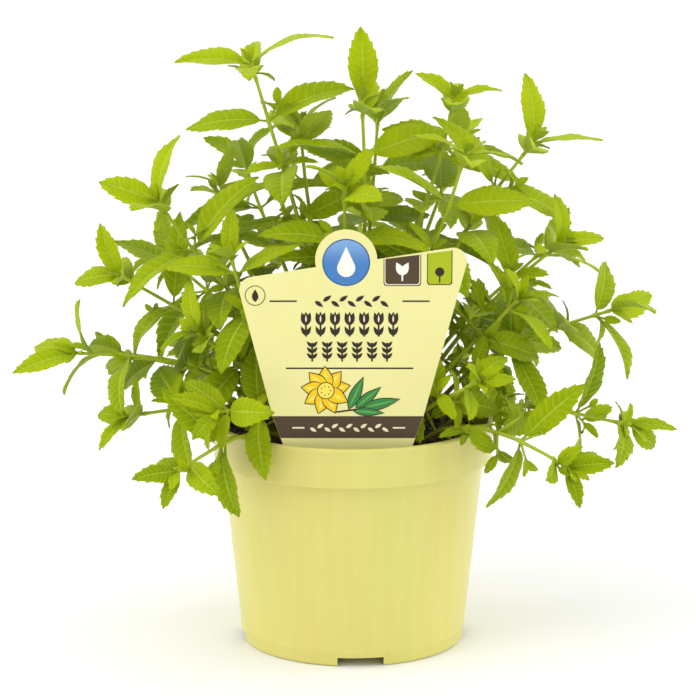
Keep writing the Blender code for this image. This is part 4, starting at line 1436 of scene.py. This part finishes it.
def fine_pot_profile():
    """The pot's section with every corner rounded, in the order of the plain section."""
    inner = BASE_RADIUS - FOOT_WIDTH
    foot = body_radius(FOOT_ROUND) - FOOT_ROUND
    neck = body_radius(COLLAR_BOTTOM)
    points = [(0, FLOOR_HEIGHT), (inner - FLOOR_BEVEL, FLOOR_HEIGHT), (inner, FLOOR_HEIGHT - FLOOR_BEVEL)]
    points += [(inner, FOOT_BEVEL), (inner + FOOT_BEVEL, 0.0)]
    points += arc((foot, FOOT_ROUND), FOOT_ROUND, -90, -4, 8)
    points += [(body_radius(z) + rise, z) for z, rise in FOOT_RING]
    points += [(body_radius(z), z) for z in WALL_ROWS]
    points += arc((neck + NECK_ROUND, COLLAR_BOTTOM - NECK_ROUND), NECK_ROUND, 180, 90, 4)
    points += arc((COLLAR_RADIUS - COLLAR_ROUND, COLLAR_BOTTOM + COLLAR_ROUND), COLLAR_ROUND, -90, 0, 6)
    points += [((COLLAR_RADIUS + RIM_RADIUS) / 2 - COLLAR_DISH, (COLLAR_BOTTOM + POT_HEIGHT) / 2)]
    points += [(RIM_RADIUS - RIM_ROUND, POT_HEIGHT - LIP_DEPTH)]
    points += arc((RIM_RADIUS - LIP_ROUND, POT_HEIGHT - LIP_ROUND), LIP_ROUND, -20, 90, 8)
    points += arc((RIM_RADIUS - RIM_LIP, POT_HEIGHT - RIM_ROUND), RIM_ROUND, 90, 180, 5)
    points += [(COLLAR_RADIUS - WALL, POT_HEIGHT - INNER_LIP_DEPTH)]
    return points + inside_wall() + [(0, FLOOR_HEIGHT + FLOOR_THICKNESS)]


def dress_pot():
    """The rounded pot with its foot notches and drain holes."""
    points, faces = turned(fine_pot_profile(), FINE_POT_STEPS)
    pot = bpy.data.objects.new("fine_pot", bpy.data.meshes.new("fine_pot"))
    bpy.context.scene.collection.objects.link(pot)
    pot.data.from_pydata(points, [], faces)
    pot.data.update()
    cutters = []
    for k in range(NOTCH_COUNT):
        turn = NOTCH_TURN + 2 * math.pi * k / NOTCH_COUNT
        place = (BASE_RADIUS * math.cos(turn), BASE_RADIUS * math.sin(turn), 0)
        cutters.append(add_box("notch", (NOTCH_DEPTH, NOTCH_WIDTH, 2 * NOTCH_HEIGHT), place, turn))
    for k in range(DRAIN_COUNT):
        turn = 2 * math.pi * (k + 0.5) / DRAIN_COUNT
        place = (DRAIN_CIRCLE * math.cos(turn), DRAIN_CIRCLE * math.sin(turn), FLOOR_HEIGHT)
        bpy.ops.mesh.primitive_cylinder_add(
            vertices=FINE_DRAIN_SIDES, radius=DRAIN_RADIUS, depth=DRAIN_CUT, location=place
        )
        cutters.append(bpy.context.object)
    cut_out(pot, cutters)
    pot.data.transform(Matrix.Translation(AXIS))
    pot.data.materials.clear()
    pot.data.materials.append(pot_material())
    pot.data.shade_smooth()
    pot.data.set_sharp_from_angle(angle=math.radians(28))
    dress(pot, "pot_plastic", "pot")


# Soil


def soil_height(x, y):
    """The lumpy top of the soil, with swells, lumps and grains."""
    place = Vector((x, y, 0.0))
    swells = noise.noise(place * 60) * 0.0011
    lumps = noise.noise(place * 190 + Vector((3, 1, 7))) * 0.0006
    grains = noise.noise(place * 520) * 0.00035
    return SOIL_TOP + (swells + lumps) + grains


def dress_soil(feet):
    """The soil's lumpy body, and the crumbs, bark and grit on it, clear of the stems' feet."""
    wall = [(radius - GAP, height + GAP) for radius, height in reversed(inside_wall())]
    rim = COLLAR_RADIUS - COLLAR_WALL - GAP
    section = [(0, wall[0][1])] + wall + [(rim, SOIL_TOP - SOIL_WALL_DROP)]
    section += [(rim * (1 - k / FINE_SOIL_RINGS), SOIL_TOP) for k in range(FINE_SOIL_RINGS)]
    points, faces = turned(section + [(0, SOIL_TOP)], FINE_SOIL_STEPS)
    lumpy = []
    for x, y, z in points:
        if z == SOIL_TOP:
            edge = max(0.0, (math.hypot(x, y) / rim - SOIL_EDGE_START) / (1 - SOIL_EDGE_START))
            z = soil_height(x, y) - SOIL_EDGE_DROP * edge
        lumpy.append((x, y, z))
    peat = soil_material("peat", (0.026, 0.015, 0.009), (0.13, 0.078, 0.042), 0.95)
    bark = soil_material("bark_bits", (0.16, 0.085, 0.04), (0.46, 0.30, 0.15), 0.85)
    grit = soil_material("pale_grit", (0.42, 0.38, 0.31), (0.66, 0.62, 0.54), 0.8)
    dress(mesh_object("fine_soil", lumpy, faces, [peat], sharp=80), "peat_soil", "soil")
    rng = random.Random(SEED + 5)
    for (name, count, sizes, flat), material in zip(CRUMBS, (peat, bark, grit)):
        dress(crumbs(name, rng, feet, count, sizes, flat, material), "peat_soil")


def crumbs(name, rng, feet, count, sizes, flat, material):
    """Scattered bits on the soil, round lumps or flat chips."""
    bpy.ops.mesh.primitive_ico_sphere_add(subdivisions=2, radius=1.0)
    ball = bpy.context.object
    shape = [vertex.co.copy() for vertex in ball.data.vertices]
    sides = [tuple(face.vertices) for face in ball.data.polygons]
    bpy.data.objects.remove(ball, do_unlink=True)
    points, faces = [], []
    placed = 0
    while placed < count:
        reach = CRUMB_REACH * math.sqrt(rng.random())
        angle = rng.uniform(0, 2 * math.pi)
        x, y = reach * math.cos(angle), reach * math.sin(angle)
        size = rng.uniform(*sizes) if flat else sizes[0] + (sizes[1] - sizes[0]) * rng.random() ** 2.5
        if any(math.hypot(x - foot.x, y - foot.y) < STEM_SPACE + size for foot in feet):
            continue
        if abs(y - LABEL_Y) < CARD_SPACE + size and abs(x) < CARD_REACH:
            continue
        if flat:
            scale = Vector((size, size * rng.uniform(0.3, 0.6), size * 0.22))
        else:
            scale = Vector([size * rng.uniform(0.7, 1.15) for _ in range(3)])
        turn = Matrix.Rotation(rng.uniform(0, math.pi), 3, "Z")
        turn = turn @ Matrix.Rotation(rng.uniform(-0.4, 0.4), 3, "X")
        first = len(points)
        offset = Vector((rng.uniform(0, 50), rng.uniform(0, 50), 0))
        for corner in shape:
            rough = 1 + 0.35 * noise.noise(corner * 1.6 + offset)
            spot = turn @ Vector([corner[k] * rough * scale[k] for k in range(3)])
            points.append(spot + Vector((x, y, soil_height(x, y) + scale.z * 0.35)))
        faces += [tuple(first + k for k in face) for face in sides]
        placed += 1
    return mesh_object(name, points, faces, [material], sharp=60)


# Label


class Print:
    """Thin printed shapes on the card's face, kept by ink. Later shapes lie over earlier ones."""

    def __init__(self):
        self.inks = {}
        self.height = PRINT_LIFT

    def paint(self, ink, *shapes):
        """Lays convex outlines in (x, z) on the card. They share one ink and may overlap."""
        kept = self.inks.setdefault(ink.name, (ink, []))[1]
        for shape in shapes:
            kept.append((shape, self.height))
            self.height += PRINT_STEP

    def level(self, number):
        """Starts again at a low height, for shapes that lie clear of those before them."""
        self.height = PRINT_LIFT + number * PRINT_LEVEL

    def build(self):
        for name, (ink, kept) in self.inks.items():
            points, faces = [], []
            for shape, height in kept:
                first = len(points)
                count = len(shape)
                front = LABEL_Y - LABEL_THICKNESS / 2
                points += [(x, front - height, z) for x, z in shape]
                points += [(x, front + PRINT_LIFT, z) for x, z in shape]
                faces.append(tuple(range(first, first + count)))
                faces.append(tuple(range(first + 2 * count - 1, first + count - 1, -1)))
                for k in range(count):
                    after = (k + 1) % count
                    faces.append((first + k, first + count + k, first + count + after, first + after))
            dress(mesh_object("print_" + name, points, faces, [ink], sharp=30), "label_card")


def circle(steps):
    """The angles of evenly spaced points round a circle."""
    return [2 * math.pi * k / steps for k in range(steps)]


def disc(x, z, radius, steps=48):
    return [(x + radius * math.cos(t), z + radius * math.sin(t)) for t in circle(steps)]


def spun(shape, x, z, turn):
    """A shape turned by an angle in degrees and moved."""
    c, s = math.cos(math.radians(turn)), math.sin(math.radians(turn))
    return [(x + a * c - b * s, z + a * s + b * c) for a, b in shape]


def bar(x, z, width, height, turn=0.0):
    corners = [(a * width / 2, b * height / 2) for a, b in ((-1, -1), (1, -1), (1, 1), (-1, 1))]
    return spun(corners, x, z, turn)


def petal(x, z, length, width, turn, steps=14):
    """A pointed leaf outline that starts at (x, z) and points along turn."""
    shares = [k / steps for k in range(steps + 1)]
    upper = [(length * t, width / 2 * math.sin(math.pi * t**0.8)) for t in shares]
    lower = [(a, -b) for a, b in upper[-2:0:-1]]
    return spun((upper + lower)[::-1], x, z, turn)


def ring(x, z, radius, width, steps=48):
    """A ring as a row of small convex pieces."""
    pieces = []
    turns = circle(steps) + [2 * math.pi]
    for one, two in zip(turns, turns[1:]):
        corners = [(radius, one), (radius + width, one), (radius + width, two), (radius, two)]
        pieces.append([(x + r * math.cos(t), z + r * math.sin(t)) for r, t in corners])
    return pieces


def half_width_at(z):
    """Half the card's width between its waist and its foot, about the middle of its foot."""
    share = (z - LABEL_FOOT_Z) / (LABEL_WAIST_Z - LABEL_FOOT_Z)
    return LABEL_FOOT_HALF + (LABEL_WAIST_HALF - LABEL_FOOT_HALF) * share


def top_edge(x):
    """Height of the card's sloping top edge."""
    share = (x - LABEL_TOP_LEFT[0]) / (LABEL_TOP_RIGHT[0] - LABEL_TOP_LEFT[0])
    return LABEL_TOP_LEFT[1] + (LABEL_TOP_RIGHT[1] - LABEL_TOP_LEFT[1]) * share


def inset_outline(outline, inset):
    """The outline moved inwards by a small distance, for a beveled edge."""
    moved = []
    count = len(outline)
    for k in range(count):
        before, here, after = outline[k - 1], outline[k], outline[(k + 1) % count]
        way = Vector((after[0] - before[0], after[1] - before[1])).normalized()
        moved.append((here[0] - way.y * inset, here[1] + way.x * inset))
    return moved


def drop_shape(x, z, radius):
    """A water drop: a disc with a point over it."""
    side, foot = radius * 0.87, z + radius * 0.5
    return [disc(x, z, radius, 32), [(x - side, foot), (x + side, foot), (x, z + radius * 2.4)]]


def rounded_tab(left, right, drop):
    """A tab that hangs from the card's top edge, with round lower corners."""
    low = top_edge((left + right) / 2) - drop
    outline = arc((left + TAB_CORNER, low + TAB_CORNER), TAB_CORNER, 180, 270, 5)
    outline += arc((right - TAB_CORNER, low + TAB_CORNER), TAB_CORNER, 270, 360, 5)
    return outline + [(right, top_edge(right) - TAB_TOP), (left, top_edge(left) - TAB_TOP)]


def tulip(sheet, ink, x, z):
    """A small flower on a stalk with one leaf on each side."""
    sheet.level(1)
    sheet.paint(ink["dark"], bar(x, z, 0.0008, 0.0060))
    sheet.paint(ink["dark"], *[petal(x, z - 0.0026, 0.0048, 0.0018, turn) for turn in (62, 118)])
    sheet.paint(ink["dark"], *[petal(x, z + 0.0020, 0.0062, 0.0027, turn) for turn in (72, 108, 90)])
    sheet.paint(ink["cream"], petal(x, z + 0.0034, 0.0034, 0.0007, 90))


def leafy_twig(sheet, ink, x, z):
    """A stalk with three pairs of small leaves."""
    sheet.level(1)
    sheet.paint(ink["dark"], bar(x, z, 0.0008, 0.0085))
    for height in (z - 0.0030, z - 0.0004, z + 0.0022):
        sheet.paint(ink["dark"], *[petal(x, height, 0.0036, 0.0015, turn) for turn in (48, 132)])


def leaf_row(sheet, ink, start, step, count, z, size, turn):
    """A row of small leaves that point up and down in turn."""
    for k in range(count):
        sheet.paint(ink, petal(start + step * k, z, *size, turn if k % 2 else -turn))


def print_edges(sheet, ink):
    """The dark band at the card's foot, the two tabs on its top edge and the badge on its lobe."""
    low, high = half_width_at(BAND_LOW) - BAND_INSET, half_width_at(BAND_HIGH) - BAND_INSET
    corners = ((-low, BAND_LOW), (low, BAND_LOW), (high, BAND_HIGH), (-high, BAND_HIGH))
    sheet.paint(ink["brown"], [(LABEL_FOOT_X + x, z) for x, z in corners])
    tabs = ((BROWN_TAB, ("dark", "cream", "brown")), (LIME_TAB, ("dark", "lime", "lime")))
    for (left, right, drop), names in tabs:
        sheet.level(1)
        for k, name in enumerate(names):
            edge = TAB_EDGE * k
            sheet.paint(ink[name], rounded_tab(left + edge, right - edge, drop - edge))
    sheet.level(1)
    sheet.paint(ink["navy"], disc(BADGE_X, BADGE_Z, BADGE_RIM, 64))
    sheet.paint(ink["blue"], disc(BADGE_X, BADGE_Z, BADGE_RADIUS, 64))
    sheet.paint(ink["white"], *drop_shape(BADGE_X, DROP_Z, DROP_RADIUS))


def print_rows(sheet, ink):
    """Two rules, a small ring with a leaf, and rows of leaves, tulips and twigs."""
    dark = ink["dark"]
    sheet.level(1)
    for side in (-1, 1):
        sheet.paint(dark, bar(PRINT_MIDDLE + side * 0.0292, TOP_ROW_Z, 0.0120, RULE))
    sheet.paint(dark, bar(PRINT_MIDDLE, LOW_RULE_Z, 0.0562, RULE))
    sheet.paint(dark, *ring(RING_X, RING_Z, 0.0042, 0.0003))
    sheet.paint(dark, petal(RING_X, RING_Z - 0.0028, 0.0056, 0.0028, 90))
    leaf_row(sheet, dark, PRINT_MIDDLE - 0.0152, 0.0036, 9, TOP_ROW_Z, (0.0044, 0.0018), 35)
    for k in range(7):
        tulip(sheet, ink, PRINT_MIDDLE - 0.0192 + 0.0064 * k, TULIP_Z)
    for k in range(6):
        leafy_twig(sheet, ink, PRINT_MIDDLE - 0.0165 + 0.0066 * k, TWIG_Z)


def print_marks(sheet, ink):
    """A seedling in the brown tab, a tree in the lime one, and a row of leaves in the band."""
    sheet.level(3)
    x = (BROWN_TAB[0] + BROWN_TAB[1]) / 2
    sheet.paint(ink["white"], petal(x - 0.0004, 0.1802, 0.0066, 0.0034, 62))
    sheet.paint(ink["white"], petal(x + 0.0004, 0.1802, 0.0066, 0.0034, 118))
    sheet.paint(ink["white"], bar(x, 0.1794, 0.0007, 0.0034))
    x = (LIME_TAB[0] + LIME_TAB[1]) / 2
    sheet.paint(ink["dark"], disc(x, 0.1818, 0.0020), bar(x, 0.1790, 0.0006, 0.0040))
    sheet.level(2)
    for x in (LABEL_FOOT_X - 0.0220, LABEL_FOOT_X + 0.0226):
        sheet.paint(ink["cream"], bar(x, BAND_ROW_Z, 0.0054, RULE))
    leaf_row(sheet, ink["cream"], LABEL_FOOT_X - 0.0168, 0.0032, 11, BAND_ROW_Z, (0.0034, 0.0015), 32)


def print_flower(sheet, ink):
    """A yellow flower and a sprig of green leaves."""
    sheet.level(1)
    for k in range(BLOOM_PETALS):
        turn = 360 / BLOOM_PETALS * k + 12
        sheet.paint(ink["dark"], petal(*BLOOM, 0.0113, 0.0072, turn))
        sheet.paint(ink["yellow"], petal(*BLOOM, 0.0107, 0.0064, turn))
        foot = spun([(0.0040, 0.0)], *BLOOM, turn)[0]
        sheet.paint(ink["light_yellow"], petal(*foot, 0.0052, 0.0018, turn))
    sheet.paint(ink["dark"], disc(*BLOOM, 0.0039))
    sheet.paint(ink["light_yellow"], disc(*BLOOM, 0.0035))
    for k in range(BLOOM_SEEDS):
        seed = spun([(0.0021, 0.0)], *BLOOM, 360 * k / BLOOM_SEEDS)[0]
        sheet.paint(ink["dark"], disc(*seed, 0.0003, 12))
    sheet.level(4)
    sheet.paint(ink["dark"], bar(0.0000, 0.1197, 0.0150, RULE, 8))
    for x, z, length, width, turn in SPRIG:
        sheet.paint(ink["dark"], petal(x, z, length, width, turn))
        inner = spun([(0.0004, 0.0)], x, z, turn)[0]
        sheet.paint(ink["green"], petal(*inner, length - 0.0010, width - 0.0008, turn))
        rib = spun([(length * 0.08, 0.0)], x, z, turn)[0]
        sheet.paint(ink["light_green"], petal(*rib, length * 0.8, 0.0007, turn))


def dress_label():
    """The card with beveled edges, and the print on its front."""
    outline = label_outline(corner_steps=10, lobe_steps=56)
    count = len(outline)
    front, back = LABEL_Y - LABEL_THICKNESS / 2, LABEL_Y + LABEL_THICKNESS / 2
    rows = ((front, CARD_BEVEL), (front + CARD_BEVEL, 0.0), (back - CARD_BEVEL, 0.0), (back, CARD_BEVEL))
    points = [(x, y, z) for y, inset in rows for x, z in inset_outline(outline, inset)]
    faces = [tuple(range(count)), tuple(range(4 * count - 1, 3 * count - 1, -1))]
    for low in range(0, 3 * count, count):
        for k in range(count):
            after = (k + 1) % count
            faces.append((low + k, low + count + k, low + count + after, low + after))
    card = mesh_object("fine_label", points, faces, [card_material()], sharp=40)
    dress(card, "label_card", "label")
    ink = {name: ink_material(name, tone, roughness) for name, tone, roughness in INKS}
    ink["blue"] = badge_material()
    sheet = Print()
    print_edges(sheet, ink)
    print_rows(sheet, ink)
    print_marks(sheet, ink)
    print_flower(sheet, ink)
    sheet.build()


# Stage


def add_floor():
    """A pale matte floor under the plant."""
    bpy.ops.mesh.primitive_plane_add(size=FLOOR_SIZE, location=(AXIS.x, AXIS.y, 0))
    floor = bpy.context.object
    floor.name = "floor"
    graph = Graph("floor_paint")
    fleck = graph.noise(9.0, 2.0)
    graph.set(Base_Color=graph.mix(fleck, colour(0.90, 0.90, 0.90), colour(0.92, 0.92, 0.92)), Roughness=0.9)
    floor.data.materials.append(graph.material)


def hang(light, place, way):
    """Puts a light at a place and turns it to shine along way."""
    lamp = bpy.data.objects.new(light.name, light)
    bpy.context.scene.collection.objects.link(lamp)
    lamp.location = place
    lamp.rotation_euler = way.to_track_quat("-Z", "Y").to_euler()


def add_lights():
    """White surroundings, broad suns, and strips that leave bands of shine on the pot."""
    world = bpy.data.worlds.new("studio")
    world.use_nodes = True
    world.node_tree.nodes["Background"].inputs["Color"].default_value = colour(1.0, 1.0, 1.0)
    world.node_tree.nodes["Background"].inputs["Strength"].default_value = SKY_STRENGTH
    bpy.context.scene.world = world
    for name, source, angle, strength in SUNS:
        light = bpy.data.lights.new(name, "SUN")
        light.angle = math.radians(angle)
        light.energy = strength
        hang(light, Vector(source) * 2, -Vector(source))
    for name, place, size, power, target in STRIPS:
        light = bpy.data.lights.new(name, "AREA")
        light.shape = "RECTANGLE"
        light.size, light.size_y = size
        light.energy = power
        hang(light, Vector(place) + AXIS, Vector(target) - Vector(place))
    bpy.context.scene.view_settings.view_transform = "Standard"
    bpy.context.scene.view_settings.look = "None"


def add_camera():
    """The camera stands in front of the label, a little above the plant, and looks down on it."""
    camera = bpy.data.cameras.new("camera")
    camera.sensor_width = SENSOR
    camera.lens = FOCAL_PIXELS * SENSOR / PICTURE_PIXELS
    camera.clip_start = 0.05
    camera.clip_end = 50
    holder = bpy.data.objects.new("camera", camera)
    bpy.context.scene.collection.objects.link(holder)
    holder.location = Vector(CAMERA_PLACE) + AXIS
    holder.rotation_euler = (math.radians(90 - CAMERA_TILT), 0, 0)
    bpy.context.scene.camera = holder


dress_pot()
dress_soil(dress_plant())
dress_label()
add_floor()
add_lights()
add_camera()
